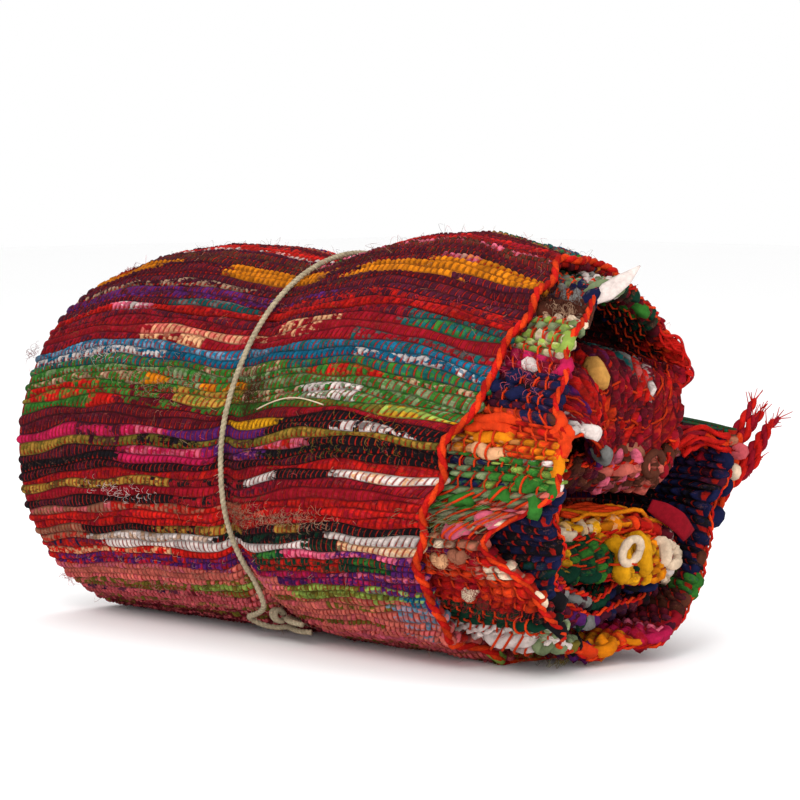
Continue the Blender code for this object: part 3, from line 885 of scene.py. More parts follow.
def clothMaterial(name):            # rag colours, threads, and if woven the warp's ticks and painted shade in the gaps between beads and rows
    settings = {"woven": False, "stretch": (1.0, 1.0, 1.0), **finishes[name]}
    mat = bpy.data.materials.new(name)
    mat.use_nodes = True
    tree = mat.node_tree
    shader = tree.nodes["Principled BSDF"]
    maths = partial(mathNode, tree)
    rag, fleck = [tree.nodes.new("ShaderNodeAttribute") for _ in range(2)]
    rag.attribute_name, fleck.attribute_name = "rag", "fleck"
    coord = tree.nodes.new("ShaderNodeTexCoord").outputs["Object"]
    fuzz = placeGroup(tree, fuzzGroup, "Scale", settings["scale"], "Vector",
                      stretch(tree, coord, settings["stretch"]))
    shade = maths("ADD", maths("MULTIPLY", fuzz["Shade"], settings["depth"]), 1 - settings["depth"] * 0.6)
    grey = tree.nodes.new("ShaderNodeCombineColor")
    for k in range(3):
        tree.links.new(shade, grey.inputs[k])
    base = rag.outputs["Color"]
    if settings["woven"]:
        share = maths("MULTIPLY", fuzz["Fleck"], fleck.outputs["Alpha"])
        base = mixColour(tree, share, base, fleck.outputs["Color"])
        stray = maths("MULTIPLY", fuzz["Stray"], settings["stray"])
        base = mixColour(tree, stray, base, tuple(linear("tan")))
    base = mixColour(tree, 1.0, base, grey.outputs[0], "MULTIPLY")
    if settings["woven"]:
        uvMap = tree.nodes.new("ShaderNodeUVMap")
        uvMap.uv_map = "weave"
        marks = placeGroup(tree, marksGroup, "Width", settings["tickWidth"], "Weave", uvMap.outputs["UV"])
        # painted shade: the gaps between beads and rows are darkened unevenly towards near black
        uneven = maths("ADD", maths("MULTIPLY", fuzz["Shade"], 0.7), 0.45)
        valley = maths("MULTIPLY", maths("MULTIPLY", marks["GapShade"], uneven), settings["valley"])
        gapShaded = mixColour(tree, valley, base, mixColour(tree, 0.84, base, (0.006, 0.002, 0.002)))
        shows = maths("MULTIPLY", marks["Tick"], maths("SUBTRACT", settings["tick"], rag.outputs["Alpha"]))
        warp = mixColour(tree, fuzz["Shade"], tuple(linear("warp", 0.30)), tuple(linear("warp", 1.05)))
        base = mixColour(tree, maths("MAXIMUM", shows, 0.0), gapShaded, warp)
    tree.links.new(base, shader.inputs["Base Color"])
    bump = tree.nodes.new("ShaderNodeBump")
    bump.inputs["Strength"].default_value = settings["bump"]
    bump.inputs["Distance"].default_value = 0.0008
    tree.links.new(fuzz["Height"], bump.inputs["Height"])
    tree.links.new(bump.outputs["Normal"], shader.inputs["Normal"])
    shader.inputs["Roughness"].default_value = settings["roughness"]
    shader.inputs["Specular IOR Level"].default_value = 0.06
    return mat


ragWeave, ragLoop, warpYarn, juteTwine, looseFibre = [clothMaterial(name) for name in finishes]
print("materials")


def newBundle():                    # yarns, loops and hairs, many tubes in one mesh
    return {"verts": [], "quads": [], "colours": [], "count": 0}


def addTube(bundle, points, radii, sides, colour, flat=1.0, profile=None):
    p = np.asarray(points, float)
    n = len(p)
    ahead = directions(p)
    u = np.zeros((n, 3))
    for k in range(n):
        guide = u[k - 1] if k else np.cross(ahead[0], (0.31, 0.52, 0.79))
        across = guide - ahead[k] * np.dot(guide, ahead[k])
        u[k] = across / max(np.linalg.norm(across), 1e-9)
    w = np.cross(ahead, u)
    angle = np.arange(sides) * 2 * pi / sides
    size = np.broadcast_to(radii, (n,))[:, None] * (np.ones((n, sides)) if profile is None else profile)
    ring = (p[:, None, :] + u[:, None, :] * (np.cos(angle) * size)[..., None] * flat
            + w[:, None, :] * (np.sin(angle) * size)[..., None])
    index = bundle["count"] + np.arange(n * sides).reshape(n, sides)
    caps = []
    if sides % 2 == 0:
        for k in range(sides // 2 - 1):
            a, b = sides - 1 - k, sides - 2 - k
            caps.append(index[0, [k + 1, k, a, b]])
            caps.append(index[-1, [k, k + 1, b, a]])
    quads = np.vstack([gridQuads(index), *caps])
    shades = np.ones((len(quads), 4))
    shades[:, :3] = colour if np.ndim(colour) == 1 else colour[0]
    if np.ndim(colour) == 2:        # one tone a point
        shades[:(n - 1) * sides, :3] = np.repeat((colour[1:] + colour[:-1]) / 2, sides, axis=0)
    bundle["verts"].append(ring.reshape(-1, 3))
    bundle["quads"].append(quads)
    bundle["colours"].append(shades)
    bundle["count"] += n * sides


def finishBundle(bundle, name, material):
    verts = np.vstack(bundle["verts"])
    verts[:, 2] = np.maximum(verts[:, 2], 0.0003)
    obj = buildMesh(name, verts, np.vstack(bundle["quads"]), {"rag": np.vstack(bundle["colours"])}, material)
    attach(obj, "root")
    return obj


# jute twine with its bow
twineStyle = {"diameter": 0.0040, "clear": 0.0018, "lobe": 0.10, "turn": 0.0075, "step": 0.0009, "sides": 12,
              "dense": 400, "passes": 60, "every": 5, "wrapFrom": 66.0, "wrapTo": 44.0, "drift": 0.0022,
              "bandHeight": 0.0045, "bandThick": 0.0076, "touch": 0.0003}
# along in millimetres from the twine's plane, degrees under the horizontal, millimetres off
bowStart = [(33, 56.0, 4.6), (22, 55.5, 4.8), (11, 57.0, 5.8), (3, 60.0, 5.8)]
bowLoop = [(3, 49.0, 8.0), (-4, 52.5, 9.8), (-14, 53.5, 7.6), (-23, 54.5, 6.0), (-28, 57.5, 5.0),
           (-24, 61.0, 5.0), (-14, 63.0, 6.4), (-3, 63.0, 10.4), (9, 61.5, 9.8), (20, 60.5, 6.4),
           (30, 61.0, 4.8)]


def convexHull(points):
    points = sorted(map(tuple, points))
    chains = []
    for run in (points, points[::-1]):
        chain = []
        for p in run:
            while len(chain) > 1:
                (ax, ay), (bx, by) = chain[-2], chain[-1]
                if (bx - ax) * (p[1] - ay) - (by - ay) * (p[0] - ax) > 0:
                    break
                chain.pop()
            chain.append(p)
        chains += chain[:-1]
    return np.array(chains)


def wrapLine():                     # once round the roll, pulled tight over its bulges
    style = twineStyle
    skin = windLine[::6] + windOut[::6] * (half + roll["ply"])
    bandTop = windLine[0] - windAhead[0] * (1.5 * style["touch"] + style["bandHeight"])
    reach = (roll["plyGap"] + roll["ply"] + style["bandThick"]) / 2
    skin = np.vstack([skin, bandTop + windOut[0] * reach, bandTop - windOut[0] * reach])
    hull = convexHull(place(np.full(len(skin), twineX), skin[:, 0], skin[:, 1])[:, 1:])
    closed = np.vstack([hull, hull[:1]])
    side = np.diff(closed, axis=0)
    facing = np.stack([side[:, 1], -side[:, 0]], axis=1) / np.linalg.norm(side, axis=1)[:, None]
    least = (facing * hull).sum(axis=1) + style["diameter"] / 2 + style["clear"]
    at = distanceAlong(closed)
    loop = readOff(closed, at, np.linspace(0, at[-1], style["dense"], endpoint=False))
    for _ in range(style["passes"]):
        before, after = np.roll(loop, 1, axis=0), np.roll(loop, -1, axis=0)
        loop = 0.5 * loop + 0.25 * (before + after)
        normal = np.stack([(after - before)[:, 1], -(after - before)[:, 0]], axis=1)
        normal /= np.linalg.norm(normal, axis=1)[:, None]
        inside = (least - loop @ facing.T).min(axis=1)
        loop += normal * np.maximum(inside, 0)[:, None]
    middle = (hull.min(axis=0) + hull.max(axis=0)) / 2
    below = np.degrees(np.arctan2(middle[1] - loop[:, 1], middle[0] - loop[:, 0]))
    past = (below - style["wrapFrom"]) % 360
    order = [i for i in np.argsort(past) if past[i] < (style["wrapTo"] - style["wrapFrom"]) % 360]
    drift = np.linspace(-style["drift"], style["drift"], len(order)) + twineX + roll["shift"][0]
    return np.column_stack([drift, loop[order]])


def onSkin(along, below, off):
    radius = roll["radius"] + off / 1000
    angle = radians(below)
    return place(np.array(twineX + along / 1000), np.array(-radius * cos(angle)), np.array(-radius * sin(angle)))


def buildTwine():
    style = twineStyle
    bow = [np.array([onSkin(*row) for row in table]) for table in (bowStart, bowLoop)]
    rows = np.vstack([bow[0], wrapLine()[::style["every"]], bow[1]])
    line = softened(smoothThrough(rows, 10), 8)
    line[:, 2] = np.maximum(line[:, 2], style["diameter"] / 2 + style["touch"])
    at = distanceAlong(line)
    where = np.arange(0, at[-1], style["step"])
    path = readOff(line, at, where)
    sides = style["sides"]
    angle = np.arange(sides) * 2 * pi / sides
    turned = 2 * (angle[None, :] - where[:, None] * 2 * pi / style["turn"])
    profile = 0.94 + style["lobe"] * np.cos(turned) + rng.uniform(-0.05, 0.05, (len(where), sides))
    bundle = newBundle()
    addTube(bundle, path, style["diameter"] / 2, sides, linear("jute"), profile=profile)
    verts = np.vstack(bundle["verts"])
    quads = np.vstack(bundle["quads"])
    # painted shade: quads in the grooves between the twine's lobes are darker and those on the crests lighter, with a
    # little random tone
    paintedGrooveShade = np.clip(profile[:-1].ravel() * 1.6 - 0.5, 0.65, 1.15)
    shades = np.ones((len(quads), 4))
    shades[:, :3] = linear("jute")
    shades[:len(paintedGrooveShade), :3] *= paintedGrooveShade[:, None]
    twine = buildMesh("twineStrand", verts, quads, {"rag": shades}, juteTwine)
    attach(twine, "root")
    return twine, path, at[-1]


twine, twinePath, twineLength = buildTwine()


def buildTwineExtras():             # the knot under the bow and the fibres that stand off
    bundle = newBundle()
    centre = np.array(onSkin(2, 56.5, 8.6))
    across = np.array([1.0, 0, 0])
    outward = np.array([0.0, -cos(radians(56.5)), -sin(radians(56.5))])
    upward = np.cross(across, outward)
    for turn, lean in ((0.0, 0.25), (0.0022, -0.15)):
        angle = np.linspace(-0.5, 2 * pi - 0.9, 22)
        ring = (centre + across * turn + np.outer(np.cos(angle), upward) * 0.0056
                + np.outer(np.sin(angle), outward) * 0.0036 + np.outer(np.cos(angle), across) * 0.004 * lean)
        addTube(bundle, ring, 0.0019, 8, linear("jute", 0.9))
    for k in rng.integers(5, len(twinePath) - 5, 420):
        aim = rng.normal(size=3)
        ahead = twinePath[k + 3] - twinePath[k - 3]
        aim = aim / np.linalg.norm(aim) + ahead / np.linalg.norm(ahead) * rng.uniform(0.5, 1.6)
        aim /= np.linalg.norm(aim)
        t = np.linspace(0, 1, 4)[:, None]
        bend = rng.normal(size=3) * 0.0012
        hair = twinePath[k] + aim * t * rng.uniform(0.003, 0.0065) + bend * t**2
        hair[:, 2] = np.maximum(hair[:, 2], 0.0005)
        addTube(bundle, hair, np.array([0.00016, 0.00014, 0.00011, 0.00005]), 3, linear("jute", 1.2))
    return finishBundle(bundle, "twineKnot", juteTwine)


twineKnot = buildTwineExtras()
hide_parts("twine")
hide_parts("twine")
print("twine", round(twineLength, 3), "m")

turnEnd = int(np.searchsorted(rowAt, 0.79))
pieceRows = [0, turnEnd // 3, 2 * turnEnd // 3, turnEnd, (turnEnd + rowCount) // 2, rowCount]
clothPieces = []
for k, (firstRow, lastRow) in enumerate(zip(pieceRows, pieceRows[1:])):
    front = k < 3
    piece = clothPiece(f"rugCloth{k + 1}", firstRow, lastRow, 4 if k < 2 else 3, front, ragWeave)
    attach(piece, "root")
    clothPieces.append(piece)
    print(piece.name, len(piece.data.polygons), "faces")
for piece in clothPieces:
    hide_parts("rug")


# the twisted edge warps, warps that show between loose beads, and rag loops
selvedge = {
    "turn": 0.015, "step": 0.0032, "warp": 0.00085, "rim": 0.0056,
    "steep": 0.007,                 # no loops where the selvedge steps more than this in 8 mm
    # ply, from and to along the winding, strand's radius, how far the strands lie apart
    "runs": [(0, 0.004, 0.73, 0.0021, 0.0012), (0, 0.73, 1.64, 0.0011, 0.0014),
             (1, 0.004, 0.24, 0.0011, 0.0014), (1, 0.24, 0.64, 0.0015, 0.0012), (1, 0.64, 1.64, 0.0011, 0.0014)],
}


def edgeWarps():                    # two twisted strands along each selvedge
    bundle = newBundle()
    for ply, start, stop, size, apart in selvedge["runs"]:
        s = np.arange(start, min(stop, woundLength - 0.004), selvedge["step"])
        for strand in (0, 1):
            phase = s / selvedge["turn"] * 2 * pi + strand * pi
            reach = selvedge["rim"] * 0.7
            inward = -reach - apart * np.cos(phase)
            lift = reach + apart * np.sin(phase)
            shade = 0.9 + 0.25 * np.sin(np.arange(len(s)) * 0.7)
            tone = linear("flame" if strand else "red") * shade[:, None]
            radii = size * (1 + 0.12 * np.sin(s * 900))
            addTube(bundle, plyPoint(ply, s, inward, lift), radii, 6, tone)
    return finishBundle(bundle, "edgeWarps", warpYarn)


def bandWarps():                    # warps over and under the loose beads near the selvedges
    bundle = newBundle()
    spans = [  # ply, distances from the selvedge in mm, from and to along the winding
        (1, (9, 19, 30, 42, 54, 66, 78, 90), 0.27, 0.62, 1),
        (1, (9, 20, 31), 0.02, 0.27, 1),
        (1, (9, 20, 31, 42), 0.62, 0.80, -1),
        (1, (20, 42), 0.80, 0.98, -1),
        (0, (9, 20, 31), 0.80, 1.64, -1),
        (1, (9, 20, 31), 0.98, 1.64, 1),
    ]
    for ply, distances, start, stop, face in spans:
        for d in distances:
            edges = rowAt[(rowAt > start) & (rowAt < stop)]
            s = np.sort(np.concatenate([edges, (edges[1:] + edges[:-1]) / 2]))
            swing = np.where(np.arange(len(s)) % 4 < 2, 1.0, -1.0) * np.where(np.arange(len(s)) % 2, 1.0, 0.35)
            inward = d / 1000 + 0.0012 * np.sin(s * 260 + d)
            lift = face * (roll["ply"] / 2 + 0.0006 + 0.0016 * swing)
            tone = linear("flame", rng.uniform(0.6, 1.0))
            addTube(bundle, plyPoint(ply, s, inward, lift), selvedge["warp"], 4, tone)
    return finishBundle(bundle, "bandWarps", warpYarn)


# Rag loops that stand off the selvedges: ply, millimetres along the winding, millimetres past the
# selvedge, loop's width, rag's half thickness, rag, millimetres off the ply's middle
bigLoops = chart("""
1 276 2 16 5 sage 4
1 262 4 14 4.5 olive 2
1 312 2 18 5 black 3
1 414 2 14 5 green 4
1 426 1 12 4.4 green 3
1 442 4 14 4.8 orange 3
1 455 4 16 4.8 flame 2
1 470 4 14 4.6 flame 3
1 512 3 14 4.6 magenta 3
1 530 3 13 4.6 lime 3
1 584 3 14 4.8 navy 3
1 598 5 16 5.6 sage 6
1 608 8 16 5.6 sage 3
1 618 5 16 5.2 forest 2
1 690 5 12 4.4 green -3
1 668 4 14 4.6 forest 0
0 640 3 14 4.6 maroon 0
0 765 4 16 5 pink 0
1 742 5 16 4.8 red 0
1 955 2 12 5 white -3
1 942 3 12 4.6 grey -2
0 806 4 12 4.4 white 3
0 830 3 18 5.4 grey 3
0 850 3 16 5 black 3
0 1000 5 16 5 navy 0
0 1040 5 18 5 navy 0
1 1094 5 24 6.2 black 0
0 1085 5 20 5 black 0
1 1112 3 10 3.6 magenta 0
1 1145 4 18 5.2 grey 0
1 1158 4 12 4.2 purple 0
0 1268 2 14 4.4 cream -5
1 1338 4 14 4.6 cream 3
0 1345 2 16 5 forest -4
0 1358 2 16 5 green -4
1 1500 4 14 4.8 tan 3
1 1486 4 14 4.6 rose 3
1 1470 4 14 4.8 brown 3
0 1540 4 14 4.4 brown 3
0 62 12 10 5.4 navy 0
0 40 5 10 4.6 navy 0
0 30 8 8 3.8 cream 2
0 16 12 7 3.6 rose 4
1 100 4 14 4.4 brown 0
1 116 4 12 3.8 green 2
1 128 4 12 3.6 green 4
0 150 4 14 4.4 plum 0
1 160 5 16 4.6 crimson 0
1 180 5 16 4.8 magenta 0
1 222 6 18 5 orange 0
1 240 6 20 5.2 flame 0
0 330 3 12 4 purple 3
0 300 3 12 4 coral 3
0 262 3 12 4 lime 3
""")
# Thick rags that lie along a row: ply, millimetres along the winding, from and to in millimetres
# from the selvedge, half thickness, rag, millimetres off the ply's middle, how many warps cross it
rowLumps = chart("""
1 291 60 20 6.8 white 7 3
1 279 40 12 5.2 white 6 2
1 283 16 2 6 sage 6 0
1 318 34 4 5.2 forest 6 2
1 341 62 50 3.6 cream 8 0
1 334 52 44 3.2 brown 8 0
1 381 92 78 4.6 purple 7 0
1 392 34 14 5 pink 7 2
1 401 22 2 5.2 pink 7 2
1 428 28 10 4.8 green 7 1
1 419 44 26 4.8 green 7 1
1 412 66 50 4.8 green 7 1
1 462 88 36 4.6 flame 6 0
1 467 84 30 4 flame 8 0
1 455 74 40 4.4 orange 6 2
1 446 72 44 4.8 peach 6 2
1 508 30 22 4.4 white 7 0
1 556 40 8 6.2 brown 6 0
1 564 30 2 5.6 brown 6 0
1 574 22 6 5 grey 6 1
1 902 63 47 6.6 amber -9 0
0 1298 26 4 6.6 gold -9 0
0 1316 18 -4 6.6 gold -9 1
0 1278 20 6 4.4 cream -8 0
0 1262 14 0 4.2 cream -6 0
1 372 30 18 4.6 tan 7 0
1 366 52 40 4.6 peach 7 0
1 490 60 46 5 navy 7 0
1 486 36 24 5 navy 7 0
1 498 44 32 5 navy 7 0
""")
# flat, pointed and ring-shaped ends of rags in the mouth: points in the roll's own frame (metres),
# half widths in millimetres, how flat, rag
ragEnds = [
    ([(0.268, -0.040, 0.250), (0.276, -0.033, 0.257), (0.283, -0.024, 0.265), (0.288, -0.014, 0.274)],
     (3.0, 7.0, 5.6, 0.6), 0.30, "white"),
    ([(0.238, 0.053, 0.106), (0.242, 0.062, 0.101), (0.247, 0.072, 0.094), (0.245, 0.086, 0.083)],
     (4.5, 7.0, 7.5, 6.0), 0.18, "crimson"),
]
rings = [   # middle in the roll's own frame, radius, rag's half thickness, rag
    ((0.270, -0.001, 0.081), 0.0085, 0.0030, "cream"), ((0.256, 0.036, 0.137), 0.0080, 0.0026, "brown"),
]


def addRag(bundle, line, thick, colour):    # a crumpled strip: creases run along it, its ends thin out
    count = len(line)
    t = np.linspace(0, 1, count)
    around = np.arange(12) * 2 * pi / 12
    twist = rng.uniform(0, 2 * pi) + 2.2 * t[:, None] + 0.5 * np.sin(t[:, None] * 9)
    creases = 1 + 0.13 * np.cos(3 * around + twist) + 0.08 * np.cos(5 * around - 1.7 * twist)
    creases = creases * rng.uniform(0.95, 1.05, (count, 12))
    radii = thick * (0.55 + 0.45 * np.sin(pi * np.clip(t, 0.04, 0.96)) ** 0.5) * rng.uniform(0.93, 1.07, count)
    tone = colour * rng.uniform(0.82, 1.12, (count, 1))
    addTube(bundle, line, radii, 12, tone, flat=rng.uniform(0.7, 0.95), profile=creases)


def ragLoops():
    bundle = newBundle()
    rows = [(ply, s / 1000, out / 1000, wide / 1000, thick / 1000, name, lift / 1000)
            for ply, s, out, wide, thick, name, lift in bigLoops]
    for ply in (0, 1):              # every other row turns round the selvedge
        for r in range(2, rowCount - 2, 2):
            step = looseEdge(rowAt[r] + 0.004, ply) - looseEdge(rowAt[r] - 0.004, ply)
            if abs(step) > selvedge["steep"]:
                continue
            pick = beadColour[ply][r, 0, :3]
            grown = 0.0 if ply == 0 and rowAt[r] < 0.75 else 1.0
            rows.append((ply, rowAt[r], rng.uniform(-0.0005, 0.001 + 0.0045 * grown),
                         rng.uniform(0.007, 0.009 + 0.004 * grown),
                         rng.uniform(0.0024, 0.0030 + 0.0014 * grown), pick, rng.uniform(-0.0015, 0.0015)))
    for ply, s, out, wide, thick, rag, lift in rows:
        colour = linear(rag) if isinstance(rag, str) else rag
        angle = np.linspace(-pi / 2, pi / 2, 11)
        along = np.clip(s + wide / 2 * np.sin(angle), 0.001, woundLength - 0.001)
        inward = 0.006 - (0.006 + out) * np.cos(angle) + looseEdge(along, ply) - looseEdge(s, ply)
        addRag(bundle, plyPoint(ply, along, inward, lift * np.cos(angle)), thick, colour)
    for ply, s, start, stop, thick, rag, lift, _ in rowLumps:
        t = np.linspace(0, 1, max(9, int(abs(start - stop) / 2)))
        along = s / 1000 + 0.0015 * np.sin(t * 7 + s)
        inward = (start + (stop - start) * t) / 1000
        sunk = lift / 1000 * np.clip(4 * np.minimum(t, 1 - t) + 0.25, 0, 1)
        addRag(bundle, plyPoint(ply, along, inward, sunk), thick / 1000, linear(rag))
    for points, widths, flat, rag in ragEnds:
        line = softened(smoothThrough(points, 6) + roll["shift"], 2)
        radii = np.interp(np.linspace(0, 1, len(line)), np.linspace(0, 1, len(widths)), widths) / 1000
        addTube(bundle, line, radii, 10, linear(rag), flat=flat)
    for middle, radius, thick, rag in rings:
        angle = np.linspace(0, 2 * pi, 25)
        line = np.array(middle) + roll["shift"] + radius * np.stack(
            [0.35 * np.sin(angle), np.cos(angle), np.sin(angle)], axis=1)
        addTube(bundle, line, thick * rng.uniform(0.9, 1.1, 25), 8, linear(rag))
    return finishBundle(bundle, "ragLoops", ragLoop)


def looseYarn():                    # red yarn that lies over the mouth's lower lobe
    bundle = newBundle()
    for k in range(9):
        s = np.linspace(1.255, 1.335, 14) + rng.uniform(-0.008, 0.008)
        inward = 0.004 + 0.0035 * k + 0.002 * np.sin(s * 160 + k)
        lift = -(roll["ply"] / 2 + 0.0035 + 0.0015 * np.cos(s * 210 + 2 * k))
        addTube(bundle, plyPoint(1, s, inward, lift), 0.0016, 6, linear("flame" if k % 3 else "orange", 0.95))
    for ply, s, start, stop, thick, _, lift, crossed in rowLumps:
        for k in range(int(crossed)):   # warps over the thick rags
            angle = np.linspace(-1.9, 1.9, 9)
            middle = np.full(9, start + (stop - start) * (k + 1) / (crossed + 1)) / 1000
            side = 1 if lift > 0 else -1
            along = s / 1000 + (thick + 0.8) / 1000 * np.sin(angle)
            over = lift / 1000 + side * (thick + 0.6) / 1000 * np.cos(angle)
            addTube(bundle, plyPoint(ply, along, middle, over), 0.0009, 5, linear("flame", 0.9))
    for k in range(22):             # and what frays out of the upper right edge
        s = np.linspace(0, rng.uniform(0.012, 0.026), 14) + rng.uniform(0.715, 0.765)
        inward = -0.005 - 0.006 * np.sin(np.linspace(0, 2.6, 14)) * rng.uniform(0.2, 1.0)
        lift = rng.uniform(-0.004, 0.004) + 0.003 * np.cos(s * 260 + 2.3 * k)
        addTube(bundle, plyPoint(k % 2, s, inward, lift), 0.0011, 5, linear("red" if k % 2 else "crimson"))
    return finishBundle(bundle, "looseYarn", warpYarn)


edgeYarn = edgeWarps()
looseWarps = bandWarps()
loops = ragLoops()
mouthYarn = looseYarn()
for obj in (edgeYarn, looseWarps, mouthYarn, loops):
    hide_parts("rug")
print("selvedges")

# the fringes: locks of yarn with a knot each, at the two cut ends
fringe = {
    "pitch": 0.021, "strands": 8, "yarn": 0.00095, "foldBare": 0.030, "twineBare": 0.014,
    "bareFrom": 0.085,              # no free locks from here to the near corner
    "thick": 0.0022, "turn": 0.018, "mat": 30,      # the twisted locks at the corner
}
lockStyles = {                      # length, shares away from the end, out and up, knot width
    "outerPly": (0.056, 0.0, 0.95, -0.35, 0.0066),
    "innerPly": (0.050, 0.0, 1.00, -0.45, 0.0064),
    "tucked": (0.026, 1.0, 0.0, 0.0, 0.0070),
}


knotRags = ["crimson", "red", "red", "flame", "red", "crimson"]
# the twisted locks at the near corner, through points in the roll's own frame
cornerLocks = [
    [(0.206, 0.138, 0.130), (0.210, 0.152, 0.136), (0.214, 0.168, 0.147), (0.219, 0.176, 0.160), (0.219, 0.186, 0.171)],
    [(0.214, 0.142, 0.124), (0.219, 0.160, 0.128), (0.222, 0.180, 0.137), (0.223, 0.194, 0.150), (0.222, 0.208, 0.156)],
    [(0.208, 0.140, 0.130), (0.212, 0.158, 0.133), (0.216, 0.174, 0.142), (0.218, 0.184, 0.152), (0.221, 0.192, 0.162)],
    [(0.216, 0.140, 0.118), (0.221, 0.156, 0.121), (0.225, 0.172, 0.128), (0.227, 0.186, 0.140), (0.226, 0.194, 0.152)],
    [(0.210, 0.138, 0.126), (0.214, 0.152, 0.130), (0.219, 0.164, 0.141), (0.222, 0.174, 0.150), (0.223, 0.180, 0.160)],
    [(0.218, 0.136, 0.120), (0.222, 0.146, 0.118), (0.226, 0.160, 0.119), (0.228, 0.172, 0.124), (0.229, 0.180, 0.131)],
    [(0.212, 0.138, 0.114), (0.217, 0.148, 0.112), (0.222, 0.158, 0.113), (0.225, 0.166, 0.118), (0.226, 0.174, 0.122)],
]


def addCornerLocks(bundle):         # two strands twisted, frayed at the tip, and matted yarn beside them
    for points in cornerLocks:
        line = softened(smoothThrough(points, 10) + roll["shift"], 4)
        at = distanceAlong(line)
        ahead = directions(line)
        side = np.cross(ahead, (0.2, -0.5, 0.8))
        side /= np.linalg.norm(side, axis=1)[:, None]
        up = np.cross(side, ahead)
        size = fringe["thick"] * np.interp(at, [0, 0.7 * at[-1], at[-1]], [1.15, 1.0, 0.7])
        phase = at / fringe["turn"] * 2 * pi
        for strand in (0, pi):
            curl = side * np.cos(phase + strand)[:, None] + up * np.sin(phase + strand)[:, None]
            curl = curl * size[:, None] * 0.8
            addTube(bundle, line + curl, size, 8, linear("red" if strand else "crimson"))
        for _ in range(9):
            t = np.linspace(0, 1, 6)[:, None]
            aim = ahead[-1] + rng.normal(size=3) * 0.45
            hair = line[-3] + rng.normal(size=3) * 0.0008 + aim * t * rng.uniform(0.005, 0.010)
            addTube(bundle, hair, 0.0005 * np.linspace(1.1, 0.5, 6), 4, linear("red"))
    for k in range(fringe["mat"]):
        t = np.linspace(0, 1, 12)
        x = 0.214 + 0.014 * rng.uniform(-1, 0.8) + 0.004 * np.sin(t * 5 + k)
        across = 0.148 - rng.uniform(0.040, 0.058) * t + 0.002 * np.sin(t * 9 + 2 * k)
        height = 0.148 + 0.006 * rng.uniform(-1, 1) - 0.006 * (2 * t - 1) ** 2 + 0.0015 * np.cos(t * 11 + k)
        line = np.stack([x, across, height], axis=1) + roll["shift"]
        radii = 0.0018 * (1 + 0.2 * np.sin(t * 20 + k))
        addTube(bundle, line, radii, 6, linear(knotRags[k % len(knotRags)]))


def addLock(bundle, root, goal, away, reach, knot):     # a knot with the strands that hang out of it
    heading, point, path = away.copy(), root.copy(), [root.copy()]
    for _ in range(10):
        heading = heading * 0.72 + goal * 0.28
        heading /= np.linalg.norm(heading)
        point = point + heading * reach / 10
        path.append(point.copy())
    path = np.array(path)
    tone = linear(knotRags[int(rng.integers(0, len(knotRags)))])
    knotShape = np.array([0.30, 0.42, 0.95, 1.0, 0.55, 0.34])
    addTube(bundle, readOff(path, np.arange(11), np.linspace(0, 4.2, 6)), knot * 0.62 * knotShape, 8, tone)
    for _ in range(fringe["strands"]):
        spread = rng.normal(size=3) * 0.0022
        droop = rng.normal(size=3) * 0.004
        t = np.linspace(0, 1, 9)[:, None]
        line = readOff(path, np.arange(11), np.linspace(0, 10 * rng.uniform(0.86, 1.0), 9))
        line = line + spread * np.sin(t * pi / 2) + droop * t**2
        line[:, 2] = np.maximum(line[:, 2], 0.001)
        strandTone = tone if rng.random() < 0.6 else linear("flame" if rng.random() < 0.5 else "crimson")
        addTube(bundle, line, fringe["yarn"] * np.linspace(1.15, 0.55, 9), 4, strandTone)


def buildFringe(name, s, towards, styles, node):
    bundle = newBundle()
    c, n = readOff(windLine, windAt, s), readOff(windOut, windAt, s)
    ahead = readOff(windAhead, windAt, s) * towards
    away, out = np.array([0, *(-ahead)]), np.array([0, *n])
    for ply in (0, 1):
        length, shareAway, shareOut, shareUp, knot = lockStyles[styles[ply]]
        edge = float(edgeAt(s, ply))
        start = c + n * plyMiddle(ply) - ahead * 0.003
        # the cut end: warps turned over a cord of yarn
        xs = np.arange(foldX, edge if shareAway else fringe["bareFrom"] + 0.02, 0.004)
        for lane in (0, 1):
            wave = np.sin(xs * 420 + lane * pi) * 0.0014
            point = place(xs, start[0] + wave * n[0], start[1] + wave * n[1])
            addTube(bundle, point, 0.0026, 6, linear("crimson", 0.9 if lane else 1.1))
        for x in np.arange(foldX + fringe["foldBare"], edge - 0.002, fringe["pitch"])[::-1]:
            if abs(x - twineX) < fringe["twineBare"] or (x > fringe["bareFrom"] and not shareAway):
                continue
            goal = away * shareAway + out * shareOut + np.array([rng.uniform(-0.08, 0.08), 0, shareUp])
            goal /= np.linalg.norm(goal)
            root = place(np.array(x), start[0], start[1])
            addLock(bundle, root, goal, away, length * rng.uniform(0.82, 1.04), knot)
    if node == "fringe_outer":
        addCornerLocks(bundle)
    obj = finishBundle(bundle, name, warpYarn)
    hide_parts(node)
    return obj


freeFringe = buildFringe("freeFringe", 0.0, 1, ("outerPly", "innerPly"), "fringe_outer")
tuckedFringe = buildFringe("tuckedFringe", woundLength, -1, ("tucked", "tucked"), "fringe_inner")
print("fringes")

# loose fibres; the tufts: millimetres along the winding and along X, spread along X and round,
# hairs, rag, reach
fuzz = {"hairs": 1800, "length": (0.003, 0.008), "radius": 0.00010, "tuftRadius": 0.00012, "bandRadius": 0.00014}
fuzzRags = ["crimson", "red", "tan", "beige", "plum", "maroon", "brown", "olive", "rose"]
tufts = chart("""
466 34 16 22 260 brown 9
388 26 16 8 90 tan 7
387 70 70 5 220 beige 6
446 170 26 16 50 mustard 6
470 -60 60 12 120 beige 5
488 -150 50 6 70 white 5
395 -95 40 6 60 white 5
432 110 60 10 90 olive 5
500 -234 3 5 26 crimson 9
312 -226 4 6 26 rose 10
575 -190 5 5 26 red 9
330 -60 120 30 120 beige 5
""")
